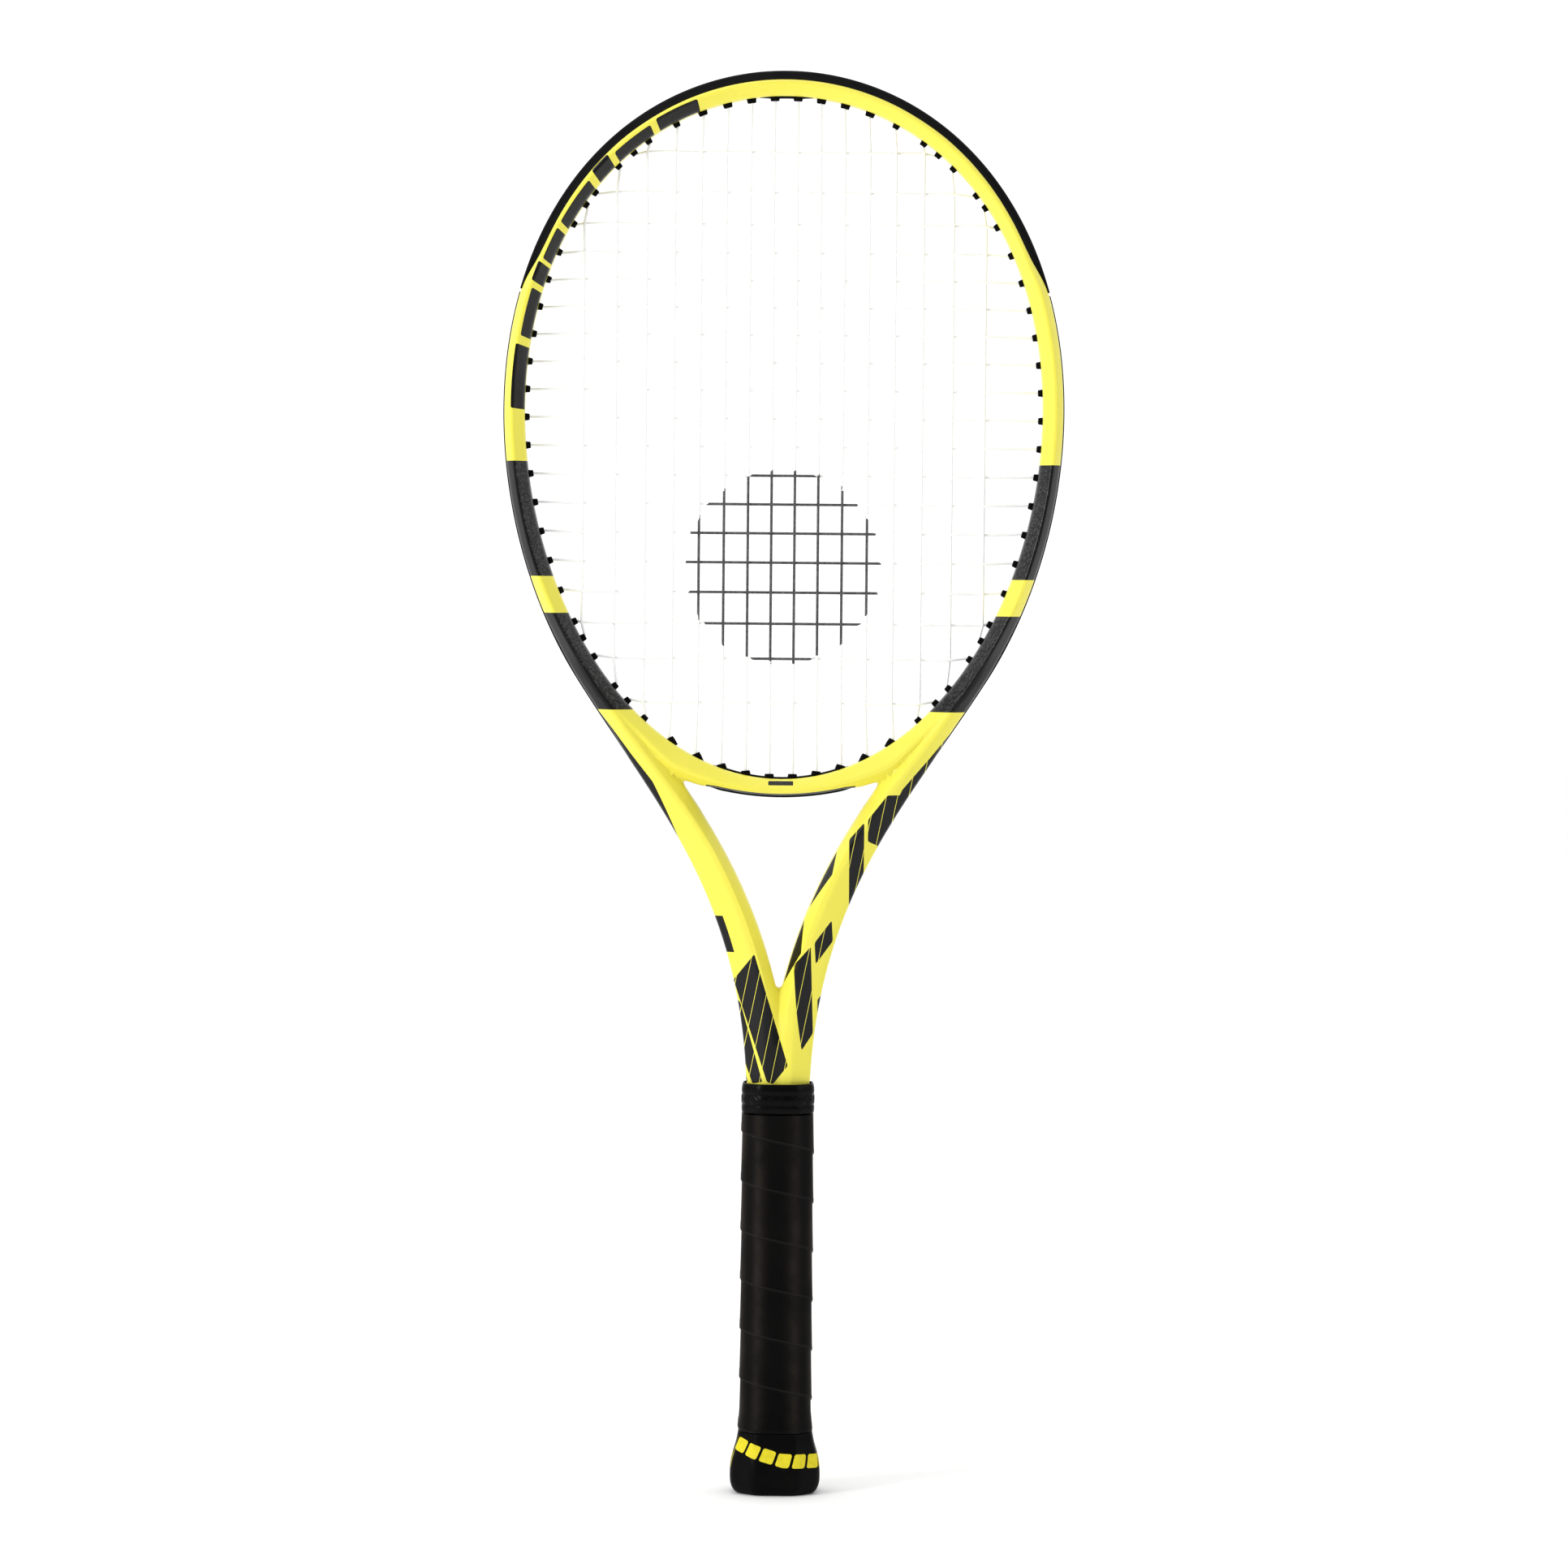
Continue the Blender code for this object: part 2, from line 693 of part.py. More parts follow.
def main_side(x, z):
    """Front or back place of a main where a cross passes it: +1 is behind."""
    number = min(NUMBERS, key=lambda value: abs(main_x(value) - abs(x)))
    row = min(ROWS, key=lambda value: abs(cross_z(value) - z))
    main_room = min(z - MAIN_BOTTOMS[number].z, MAIN_TOPS[number].z - z)
    cross_room = CROSS_ENDS[row].x - abs(x)
    if min(main_room, cross_room) < RIM_MARGIN:
        return -1
    place_number = number if x > 0 else 1 - number
    return 1 if (place_number + row) % 2 else -1


def string_section(before, point, after):
    """Four corners round a path point, mitred in the plane of the strings."""
    normals = []
    for start, end in ((before, point), (point, after)):
        run_x, run_z = end[0] - start[0], end[2] - start[2]
        if math.hypot(run_x, run_z) > 1e-6:
            normals.append(unit(-run_z, run_x))
    total_x = sum(normal[0] for normal in normals)
    total_z = sum(normal[1] for normal in normals)
    scale = STRING_HALF * len(normals) / (total_x ** 2 + total_z ** 2)
    mitre = (total_x * scale, total_z * scale)
    corners = []
    for across, deep in ((-1, -1), (1, -1), (1, 1), (-1, 1)):
        corners.append((point[0] + mitre[0] * across, point[1] + deep * STRING_HALF,
                        point[2] + mitre[1] * across))
    return corners


def make_string(name, path):
    rings = []
    for index, point in enumerate(path):
        before = path[max(0, index - 1)]
        after = path[min(len(path) - 1, index + 1)]
        rings.append(string_section(before, point, after))
    make_object(name, loft_solid(rings), STRING)


def at_depth(points, y):
    return [(x, y, z) for x, z in points]


def main_run(x):
    """One main from its bottom mouth to its top mouth."""
    number = min(NUMBERS, key=lambda value: abs(main_x(value) - abs(x)))
    side = 1 if x > 0 else -1
    bottom, top = MAIN_BOTTOMS[number], MAIN_TOPS[number]
    path = [(side * bottom.x, -WEAVE, bottom.z)]
    for row in ROWS:
        if passing(x, cross_z(row)):
            path.append((x, WEAVE * main_side(x, cross_z(row)), cross_z(row)))
    return path + [(side * top.x, -WEAVE, top.z)]


def cross_run(row):
    """One cross from its left mouth to its right mouth."""
    end = CROSS_ENDS[row]
    z = cross_z(row)
    path = [(-end.x, WEAVE, end.z)]
    for x in sorted([main_x(n) for n in NUMBERS] + [-main_x(n) for n in NUMBERS]):
        if passing(x, z):
            path.append((x, -WEAVE * main_side(x, z), z))
    return path + [(end.x, WEAVE, end.z)]


def outside_loop(line, first, second, side, y):
    """Out through one mouth, along the groove, to the outside of the next mouth."""
    out, back = meet(line, first), meet(line, second)
    points = [out.point] + walk(line, out.place, back.place) + [back.point]
    return [(side * x, y, z) for x, z in points]


def tail(line, mouth, side, y, step):
    """A short end of string that lies in the groove beyond a mouth."""
    out = meet(line, mouth)
    index = int(out.place)
    share = out.place - index + step
    x = line[index][0] + (line[index + 1][0] - line[index][0]) * share
    z = line[index][1] + (line[index + 1][1] - line[index][1]) * share
    return [(side * x, y, z), (side * out.point[0], y, out.point[1])]


def make_main_string():
    hoop_line = offset_line(SIDE, STRING_DEPTH)
    bridge_line = offset_line(BRIDGE, STRING_DEPTH)
    last = MAINS_PER_SIDE
    path = tail(hoop_line, MAIN_BOTTOMS[last], -1, -WEAVE, STRING_TAIL)
    order = [-n for n in reversed(NUMBERS)] + list(NUMBERS)
    upward = True
    for current, following in zip(order, order[1:] + [None]):
        side = 1 if current > 0 else -1
        run = main_run(side * main_x(abs(current)))
        path += run if upward else run[::-1]
        if following is None:
            continue
        mouths = MAIN_TOPS if upward else MAIN_BOTTOMS
        first, second = mouths[abs(current)], mouths[abs(following)]
        if upward or abs(current) in SHOULDER_NUMBERS:
            path += outside_loop(hoop_line, first, second, side, -WEAVE)
        else:
            first = mirrored(first, side)
            second = mirrored(second, 1 if following > 0 else -1)
            path += outside_loop(bridge_line, first, second, 1, -WEAVE)
        upward = not upward
    path += tail(hoop_line, MAIN_BOTTOMS[last], 1, -WEAVE, STRING_TAIL)[::-1]
    make_string("main_string", path)


def make_cross_string():
    line = offset_line(SIDE, STRING_DEPTH)
    rows = list(reversed(ROWS))
    path = tail(line, CROSS_ENDS[rows[0]], -1, WEAVE, -STRING_TAIL)
    side = 1
    for row, below in zip(rows, rows[1:] + [None]):
        run = cross_run(row)
        path += run if side > 0 else run[::-1]
        if below is not None:
            path += outside_loop(line, CROSS_ENDS[row], CROSS_ENDS[below], side, WEAVE)
            side = -side
    path += tail(line, CROSS_ENDS[rows[-1]], side, WEAVE, STRING_TAIL)[::-1]
    make_string("cross_string", path)


# ---------------------------------------------------------------- handle

def octagon(z, offset):
    flat = GRIP_FLAT_HALF - CORNER_SHRINK * offset
    wide = GRIP_HALF_WIDTH - offset
    deep = GRIP_HALF_DEPTH - offset
    side = GRIP_SIDE_HALF - CORNER_SHRINK * offset
    corners = [(flat, deep), (wide, side)]
    corners += [(x, -y) for x, y in reversed(corners)]
    corners += [(-x, -y) for x, y in corners]
    return [(x, y, z) for x, y in corners]


def leg_hole(z):
    corners = [(LEG_HOLE_FLAT, LEG_HALF_DEPTH + LEG_FIT), (LEG_HALF_SPAN + LEG_FIT, LEG_HOLE_SIDE)]
    corners += [(x, -y) for x, y in reversed(corners)]
    corners += [(-x, -y) for x, y in corners]
    return [(x, y, z) for x, y in corners]


def octagons(levels):
    """Rings from a list of (height, offset inwards from the grip's outside)."""
    return [octagon(z, offset) for z, offset in levels]


def make_pallet():
    neck_top = CAP_TOP + GAP
    outside = octagons([(PALLET_BOTTOM, PALLET_NECK_OFFSET), (neck_top, PALLET_NECK_OFFSET),
                        (neck_top + 0.2, PALLET_OFFSET), (GRIP_SHOULDER - 1.5, PALLET_OFFSET),
                        (GRIP_SHOULDER, PALLET_OFFSET + 1.0), (PALLET_TOP, PALLET_OFFSET + 1.0)])
    shape = loft_sleeve(outside + [leg_hole(PALLET_TOP), leg_hole(PALLET_BOTTOM)])
    return make_object("handle_pallet", shape, FOAM)


def make_butt_cap():
    """A flared cap whose skirt runs up under the grip, with a round recess in its end."""
    lip = GRIP_BOTTOM - GAP
    outside = [(0.0, -1.8), (1.6, -3.6), (4.5, -4.5), (12.0, -4.5), (16.0, -4.3), (21.0, -2.6),
               (lip, GRIP_FOOT_OFFSET), (lip, CAP_LIP_OFFSET), (35.0, PALLET_OFFSET),
               (CAP_TOP, PALLET_OFFSET)]
    inside = [(CAP_TOP, CAP_INSIDE), (CAP_FLOOR, CAP_INSIDE)]
    cap = make_object("butt_cap", loft_solid(octagons(outside + inside)), CAP)
    recess = bmesh.new()
    recess_height = 2 * (BADGE_Z + 0.5 * BADGE_THICKNESS + 0.4)
    bmesh.ops.create_cone(recess, cap_ends=True, segments=BADGE_SEGMENTS,
                          radius1=(BADGE_RADIUS + GAP) * MM, radius2=(BADGE_RADIUS + GAP) * MM,
                          depth=recess_height * MM)
    combine(cap, make_cutter("cut_badge_recess", recess), "DIFFERENCE")
    return cap


def make_badge():
    shape = bmesh.new()
    bmesh.ops.create_cone(shape, cap_ends=True, segments=BADGE_SEGMENTS,
                          radius1=(BADGE_RADIUS - BADGE_CHAMFER) * MM, radius2=BADGE_RADIUS * MM,
                          depth=BADGE_THICKNESS * MM)
    badge = make_object("butt_badge", shape, CAP)
    badge.location = (0.0, 0.0, BADGE_Z * MM)


def staple_shape(grow):
    """A staple with its crown along X and its legs along +Y, from the crown's outer face."""
    outer = STAPLE_HALF_CROWN + grow
    inner = STAPLE_HALF_CROWN - STAPLE_WIRE - grow
    crown = STAPLE_CROWN + grow
    tip = STAPLE_REACH + grow
    outline = [(-outer, -grow), (outer, -grow), (outer, tip), (inner, tip), (inner, crown),
               (-inner, crown), (-inner, tip), (-outer, tip)]
    half_wire = 0.5 * STAPLE_WIRE + grow
    return loft_solid([[(x, y, z) for x, y in outline] for z in (-half_wire, half_wire)])


def add_staple(name, turn, hosts):
    """Set a staple into the cap, with clearance round it in each host."""
    face_y = GRIP_HALF_DEPTH - PALLET_OFFSET - STAPLE_SETBACK
    staple = make_object(name, staple_shape(0.0), STEEL)
    cutter = make_cutter(f"cut_{name}", staple_shape(GAP))
    for piece in (staple, cutter):
        piece.rotation_euler = (0.0, 0.0, turn)
        piece.location = (math.sin(turn) * face_y * MM, -math.cos(turn) * face_y * MM, STAPLE_Z * MM)
    for host in hosts:
        combine(host, cutter, "DIFFERENCE")


def make_grip():
    """A sleeve that starts on the cap's flare and is cut thin at its top for the tape."""
    neck = GRIP_INSIDE
    outside = [(GRIP_BOTTOM, GRIP_FOOT_OFFSET), (40.0, 0.0), (GRIP_SHOULDER, 0.0),
               (GRIP_SHOULDER + 0.5, neck), (GRIP_TOP, neck)]
    inside = [(GRIP_TOP, neck + 1.0), (GRIP_SHOULDER + GAP, neck + 1.0),
              (GRIP_SHOULDER - 1.2, GRIP_INSIDE), (35.0, GRIP_INSIDE),
              (GRIP_BOTTOM, CAP_LIP_OFFSET - GAP)]
    make_object("base_grip", loft_sleeve(octagons(outside + inside)), LEATHER)


def make_finishing_tape():
    rings = octagons([(185.8, 1.15), (189.6, 1.15), (189.6, 1.4), (185.8, 1.4)])
    make_object("finishing_tape", loft_sleeve(rings), TAPE)


def make_collar():
    outside = [(COLLAR_BOTTOM, -0.1), (COLLAR_BOTTOM + 3.0, -0.3), (COLLAR_TOP - 4.0, -0.3),
               (COLLAR_TOP, 0.35)]
    inside = [(COLLAR_TOP, 0.85), (COLLAR_BOTTOM, 0.85)]
    make_object("rubber_collar", loft_sleeve(octagons(outside + inside)), RUBBER)


def make_handle():
    pallet = make_pallet()
    cap = make_butt_cap()
    make_badge()
    make_grip()
    add_staple("cap_staple_front", 0.0, [cap, pallet])
    add_staple("cap_staple_back", math.pi, [cap, pallet])
    make_finishing_tape()
    make_collar()


def main():
    clear_scene()
    make_frame_tube()
    make_bridge()
    make_bumper_guard()
    make_side_strip("grommet_strip_left", -1)
    make_side_strip("grommet_strip_right", 1)
    make_throat_strip()
    make_main_string()
    make_cross_string()
    make_handle()


main()
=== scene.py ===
"""Looks of a tennis racket: fine meshes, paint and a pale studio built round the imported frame.

Lengths are millimetres in the frame's axes until a mesh is made. +Z runs up the handle, +X lies to
the right and -Y is the front. A depth is counted inwards from the racket's outline.
"""

import math
from collections import namedtuple
from functools import reduce

import bpy
import numpy as np
from mathutils import Matrix, Vector
from mathutils.geometry import delaunay_2d_cdt
from mathutils.kdtree import KDTree


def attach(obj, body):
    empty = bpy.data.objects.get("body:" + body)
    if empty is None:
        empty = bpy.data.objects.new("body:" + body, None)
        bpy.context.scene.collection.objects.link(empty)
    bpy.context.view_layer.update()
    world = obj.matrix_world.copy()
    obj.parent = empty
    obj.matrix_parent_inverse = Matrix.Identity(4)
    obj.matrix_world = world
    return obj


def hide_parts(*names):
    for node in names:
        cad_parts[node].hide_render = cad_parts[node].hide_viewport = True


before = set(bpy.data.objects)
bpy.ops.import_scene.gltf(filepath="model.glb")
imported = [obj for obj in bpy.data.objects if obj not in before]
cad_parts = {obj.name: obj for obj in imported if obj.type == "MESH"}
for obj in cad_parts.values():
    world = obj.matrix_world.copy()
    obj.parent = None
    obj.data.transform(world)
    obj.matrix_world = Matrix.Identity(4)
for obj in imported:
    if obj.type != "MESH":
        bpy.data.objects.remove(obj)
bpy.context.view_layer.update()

MM = 0.001
STEP = 1.6

# Hoop: two egg-shaped outlines. An angle is counted from the top of the hoop.
Egg = namedtuple("Egg", "half_width half_height centre_z taper fullness")
OUTER_EGG = Egg(136.0, 178.3, 507.5, 0.0798, 0.0101)
INNER_EGG = Egg(125.9, 164.1, 509.6, 0.0734, 0.0124)
HOOP_END = math.radians(130.0)
GUARD_END_Z = 583.0

# Shafts: each outer edge is one Bezier curve that leaves the hoop and ends upright.
SHAFT_START_PULL = 72.0
SHAFT_END_PULL = 102.0
SHAFT_END = (15.1, 185.2)
SHAFT_SHARE = 0.95
SHAFT_WIDTH_AT_YOKE = 13.6
SHAFT_WIDENING = 0.043
YOKE_Z = 371.0
LEG_HALF_SPAN = 12.2
LEG_TOP = 186.0
LEG_BOTTOM = 172.0
VALLEY_Z = 244.5
VALLEY_RADIUS = 2.0

# Bridge.
BRIDGE_LOW_Z = 336.6
BRIDGE_ARCH = 0.003686
BRIDGE_FAN = 0.00376
BRIDGE_MAIN_REACH = 56.0
BRIDGE_EDGE_REACH = 47.6
BRIDGE_REVEAL = 1.0
THROAT_CORNER = (48.4, 345.4)
CORNER_REACH = 5.5

# Cross-section of the frame.
HALF_DEPTH_TOP = 11.5
HALF_DEPTH_SIDE_GAIN = 1.5
HALF_DEPTH_YOKE = 12.4
HALF_DEPTH_SHAFT = 11.0
HALF_DEPTH_BRIDGE = 10.5
HALF_DEPTH_LEG = 9.0
RIDGE_PEAK = 1.09
OUTER_WALL_SHARE = 0.55
INNER_WALL_SHARE = 0.42
LEG_WALL_SHARE = 0.90
HOOP_CREST = 0.40
SHAFT_CREST = 0.72
RING_WIDTH_AT_YOKE = 9.8
RING_WIDTH_MOST = 14.0
EDGE_RADIUS = 1.3
GUARD_RECESS = 2.4
STRIP_REVEAL = 0.7
STRIP_START = (352.0, 372.0)
GROOVE_DEPTH = 3.0
BRIDGE_GROOVE_DEPTH = 1.7
GROOVE_HALF_HEIGHT = 3.6
PLATE_OUTER = 1.8
PLATE_INNER = 2.7

# Heights between which the shaft's section changes, and where it ends inside the hoop.
LEG_CHANGE = (LEG_TOP, 200.0)
INNER_WALL_CHANGE = (215.0, 250.0)
CREST_CHANGE = (305.0, 392.0)
SHAFT_SINK = (385.0, 425.0)
SHAFT_TOP = 440.0

# Strings.
STRING_RADIUS = 0.64
STRING_DEPTH = 0.9
WEAVE = 0.72
MAIN_OFFSET = 0.8
MAINS_PER_SIDE = 8
MAIN_SPACING = 11.2
MAIN_SPREAD = 0.030
CROSSES_PER_SIDE = 9
CROSS_MIDDLE_Z = 518.9
CROSS_SPACING = 13.55
CROSS_BOW = 0.055
CROSS_END_SPREAD = 10.4
RIM_MARGIN = 4.0
MOUTH_LEAD = 2.0

# Handle: octagons, each offset inwards from the grip's outside.
GRIP_FLAT_HALF = 8.8
GRIP_HALF_WIDTH = 17.2
GRIP_HALF_DEPTH = 15.0
GRIP_SIDE_HALF = 7.5
CORNER_SHRINK = 0.41
GRIP_BOTTOM = 30.0
GRIP_SHOULDER = 183.6
GRIP_TOP = 190.0
WRAP_PITCH = 23.9
WRAP_START_Z = 31.3
COLLAR_BOTTOM = 184.5
COLLAR_TOP = 198.7
BADGE_RADIUS = 10.7

Mouth = namedtuple("Mouth", "x z dir_x dir_z")
Meeting = namedtuple("Meeting", "place point")


# ---------------- lines in the plane of the strings

def smooth(value, low, high):
    """0 below low, 1 above high and an even curve between; high may be the lower one."""
    share = np.clip((np.asarray(value, float) - low) / (high - low), 0.0, 1.0)
    return share * share * (3 - 2 * share)


def blend(start, end, share):
    return start + (end - start) * share


def unit(vectors):
    return vectors / np.linalg.norm(vectors, axis=-1, keepdims=True)


def egg_line(egg, angle):
    bulge = 1 + egg.taper * np.cos(angle) + egg.fullness * np.cos(2 * angle)
    return np.stack([egg.half_width * np.sin(angle) * bulge,
                     egg.centre_z + egg.half_height * np.cos(angle)], -1)


def resample(line, step):
    lengths = np.r_[0.0, np.cumsum(np.linalg.norm(np.diff(line, axis=0), axis=1))]
    places = np.linspace(0.0, lengths[-1], max(2, round(lengths[-1] / step) + 1))
    return np.stack([np.interp(places, lengths, line[:, axis]) for axis in (0, 1)], -1)


def rightward(line):
    """Unit normals on the right-hand side of a line's run, which is inwards for the outline."""
    run = unit(np.gradient(line, axis=0))
    return np.stack([run[:, 1], -run[:, 0]], -1)


def bezier(points, count, end=1.0):
    s = np.linspace(0.0, end, count)[:, None]
    weights = ((1 - s) ** 3, 3 * (1 - s) ** 2 * s, 3 * (1 - s) * s ** 2, s ** 3)
    return sum(weight * point for weight, point in zip(weights, np.asarray(points, float)))


def nearest(points, line, batch=2000):
    """Signed distance to a line, positive on its right, and the place along it in stations."""
    start, run = line[:-1], np.diff(line, axis=0)
    squared = (run ** 2).sum(1)
    distances = np.empty(len(points))
    places = np.empty(len(points))
    for low in range(0, len(points), batch):
        off = points[low:low + batch, None, :] - start
        share = np.clip((off * run).sum(2) / squared, 0.0, 1.0)
        rest = off - share[..., None] * run
        gap = np.hypot(rest[..., 0], rest[..., 1])
        best = gap.argmin(1)
        rows = np.arange(len(best))
        turn = run[best, 0] * off[rows, best, 1] - run[best, 1] * off[rows, best, 0]
        distances[low:low + batch] = gap[rows, best] * np.where(turn > 0, -1.0, 1.0)
        places[low:low + batch] = best + share[rows, best]
    return distances, places


def crossings(origins, directions, line):
    """How far each ray goes to each piece of the line, infinite where it misses, and how far along
    the piece it crosses, as a share."""
    run = np.diff(line, axis=0)
    off = line[:-1] - origins[:, None, :]
    way_x, way_z = directions[:, None, 0], directions[:, None, 1]
    turn = way_x * run[:, 1] - way_z * run[:, 0]
    turn = np.where(np.abs(turn) < 1e-9, 1e-9, turn)
    reach = (off[..., 0] * run[:, 1] - off[..., 1] * run[:, 0]) / turn
    share = (off[..., 0] * way_z - off[..., 1] * way_x) / turn
    return np.where((reach > 0) & (share >= 0) & (share <= 1), reach, np.inf), share


def ray_reaches(origins, directions, line):
    """How far each ray goes before it crosses the line."""
    return crossings(origins, directions, line)[0].min(1)


def outline_line():
    """The right half of the outline, from the top of the hoop to the leg inside the handle."""
    hoop = egg_line(OUTER_EGG, np.linspace(0.0, HOOP_END, 400))
    leave = unit(hoop[-1] - hoop[-2])
    pulls = [hoop[-1], hoop[-1] + leave * SHAFT_START_PULL,
             (SHAFT_END[0], SHAFT_END[1] + SHAFT_END_PULL), SHAFT_END]
    shaft = bezier(pulls, 200, SHAFT_SHARE)
    legs = [(LEG_HALF_SPAN, LEG_TOP), (LEG_HALF_SPAN, LEG_BOTTOM)]
    return resample(np.vstack([hoop, shaft[1:], legs]), STEP)


def reveal(z):
    """How far the frame's own wall lies below the outline, so that nylon stands proud of it."""
    strip = STRIP_REVEAL * smooth(z, *STRIP_START)
    return blend(strip, GUARD_RECESS, smooth(z, GUARD_END_Z - 4.0, GUARD_END_Z + 16.0))


def shaft_inner_line(outline):
    normals = rightward(outline)
    width = SHAFT_WIDTH_AT_YOKE + SHAFT_WIDENING * np.maximum(0.0, YOKE_Z - outline[:, 1])
    to_rim = ray_reaches(outline, normals, egg_line(INNER_EGG, np.linspace(0.0, math.pi, 600)))
    to_middle = (outline[:, 0] - 0.2) / np.maximum(1e-6, -normals[:, 0])
    width = np.minimum(width, to_middle)
    width = np.where(outline[:, 1] > 380.0, np.minimum(width, to_rim), width)
    return outline + normals * width[:, None]


def bridge_low_z(x):
    return BRIDGE_LOW_Z + BRIDGE_ARCH * x * x


def bridge_low_line(x):
    return np.stack([x, bridge_low_z(x)], -1)


def throat_line(inner):
    """Right half of the throat's edge: along the bridge, round the corner, down to the valley."""
    low = inner[(inner[:, 1] < 352.0) & (inner[:, 0] > 1.2) & (inner[:, 1] > VALLEY_Z)]
    top = bridge_low_line(np.linspace(0.0, BRIDGE_EDGE_REACH, 60))
    top[:, 1] += BRIDGE_REVEAL * smooth(top[:, 0], 40.0, 30.0)
    corner = np.array(THROAT_CORNER)
    top = top[np.linalg.norm(top - corner, axis=1) > CORNER_REACH]
    low = low[(low[:, 1] < corner[1] - 0.8 * CORNER_REACH) & (low[:, 1] > VALLEY_Z + 6.0)]
    bend = bezier([top[-1], blend(top[-1], corner, 0.85), blend(low[0], corner, 0.85), low[0]], 14)
    foot = bezier([low[-1], (low[-1][0] - 1.2, VALLEY_Z + 2.2), (VALLEY_RADIUS, VALLEY_Z),
                   (0.0, VALLEY_Z)], 12)
    return resample(np.vstack([top, bend[1:-1], low, foot[1:]]), STEP)


def ring_outer_line(rim, wall):
    """Outer edge of the oval ring, which the shafts leave: it ends as the bridge's lower edge."""
    outward = -rightward(rim)
    height = (rim[:, 1] - INNER_EGG.centre_z) / INNER_EGG.half_height
    angle = np.degrees(np.arccos(np.clip(height, -1.0, 1.0)))
    bridge = bridge_low_line(np.linspace(0.0, 75.0, 60))
    to_wall, to_bridge = (np.minimum(ray_reaches(rim, outward, line), RING_WIDTH_MOST)
                          for line in (wall, bridge))
    width = blend(to_wall, RING_WIDTH_AT_YOKE, smooth(angle, 100.0, 124.0))
    width = blend(width, to_bridge, smooth(angle, 146.0, 158.0))
    return rim + outward * width[:, None], angle


OUTLINE = outline_line()
INWARD = rightward(OUTLINE)
INWARD[0] = (0.0, -1.0)
WALL = OUTLINE + INWARD * reveal(OUTLINE[:, 1])[:, None]
RIM = resample(egg_line(INNER_EGG, np.linspace(0.0, math.pi, 600)), STEP)
SHAFT_INNER = shaft_inner_line(OUTLINE)
THROAT = throat_line(SHAFT_INNER)
RING_OUTER, RIM_ANGLE = ring_outer_line(RIM, WALL)


# ---------------- height of the frame's front face

def soft_min(a, b, reach):
    return np.minimum(a, b) - np.maximum(reach - np.abs(a - b), 0.0) ** 2 / (4 * reach)


def soft_max(a, b, reach):
    return -soft_min(-a, -b, reach)


def roof(outer, inner, half_depth, inner_wall, crest):
    """Two facets that rise from the walls to a flat ridge; outer and inner are edge distances."""
    share = outer / np.maximum(outer + inner, 1e-6)
    peak = half_depth * RIDGE_PEAK
    foot = OUTER_WALL_SHARE * half_depth
    far_foot = inner_wall * half_depth
    outside = foot + (peak - foot) * share / crest
    inside = far_foot + (peak - far_foot) * (1 - share) / (1 - crest)
    return soft_min(soft_min(outside, inside, 0.5), half_depth, 0.35)


def shaft_crest(z):
    return blend(SHAFT_CREST, HOOP_CREST, smooth(z, *CREST_CHANGE))


def edge_distances(points):
    """Distances from the outer wall, the rim of the string bed and the throat's edge."""
    folded = np.stack([np.abs(points[:, 0]), points[:, 1]], -1)
    return nearest(folded, WALL)[0], -nearest(folded, RIM)[0], np.abs(nearest(folded, THROAT)[0])


def full_heights(points):
    """Height of the front face above the middle plane, before its edges are rounded."""
    folded = np.stack([np.hypot(points[:, 0], 0.8), points[:, 1]], -1)
    z = folded[:, 1]
    rim, place = nearest(folded, RIM)
    angle = np.interp(place, np.arange(len(RIM)), RIM_ANGLE)
    hoop_depth = HALF_DEPTH_TOP + HALF_DEPTH_SIDE_GAIN * np.sin(np.radians(angle)) ** 2
    ring_depth = blend(hoop_depth, HALF_DEPTH_BRIDGE, smooth(angle, 122.0, 152.0))
    ring = roof(nearest(folded, RING_OUTER)[0], -rim, ring_depth, INNER_WALL_SHARE, HOOP_CREST)
    depth = blend(HALF_DEPTH_YOKE, HALF_DEPTH_SHAFT, np.clip((390.0 - z) / 190.0, 0.0, 1.0))
    depth = blend(HALF_DEPTH_LEG, depth, smooth(z, *LEG_CHANGE))
    inner_wall = blend(LEG_WALL_SHARE, INNER_WALL_SHARE, smooth(z, *INNER_WALL_CHANGE))
    shaft = roof(nearest(folded, WALL)[0], -nearest(folded, SHAFT_INNER)[0], depth, inner_wall,
                 shaft_crest(z))
    shaft = np.where(z > SHAFT_TOP, -50.0, shaft - 5.0 * smooth(z, *SHAFT_SINK))
    return soft_max(ring, shaft, 1.8)


def heights(points):
    distance = np.clip(np.minimum.reduce(edge_distances(points)), 0.0, EDGE_RADIUS)
    drop = EDGE_RADIUS - np.sqrt(np.maximum(EDGE_RADIUS ** 2 - (EDGE_RADIUS - distance) ** 2, 0.0))
    return full_heights(points) - drop


# ---------------- meshes

def add_object(name, data):
    made = bpy.data.objects.new(name, data)
    bpy.context.scene.collection.objects.link(made)
    return made


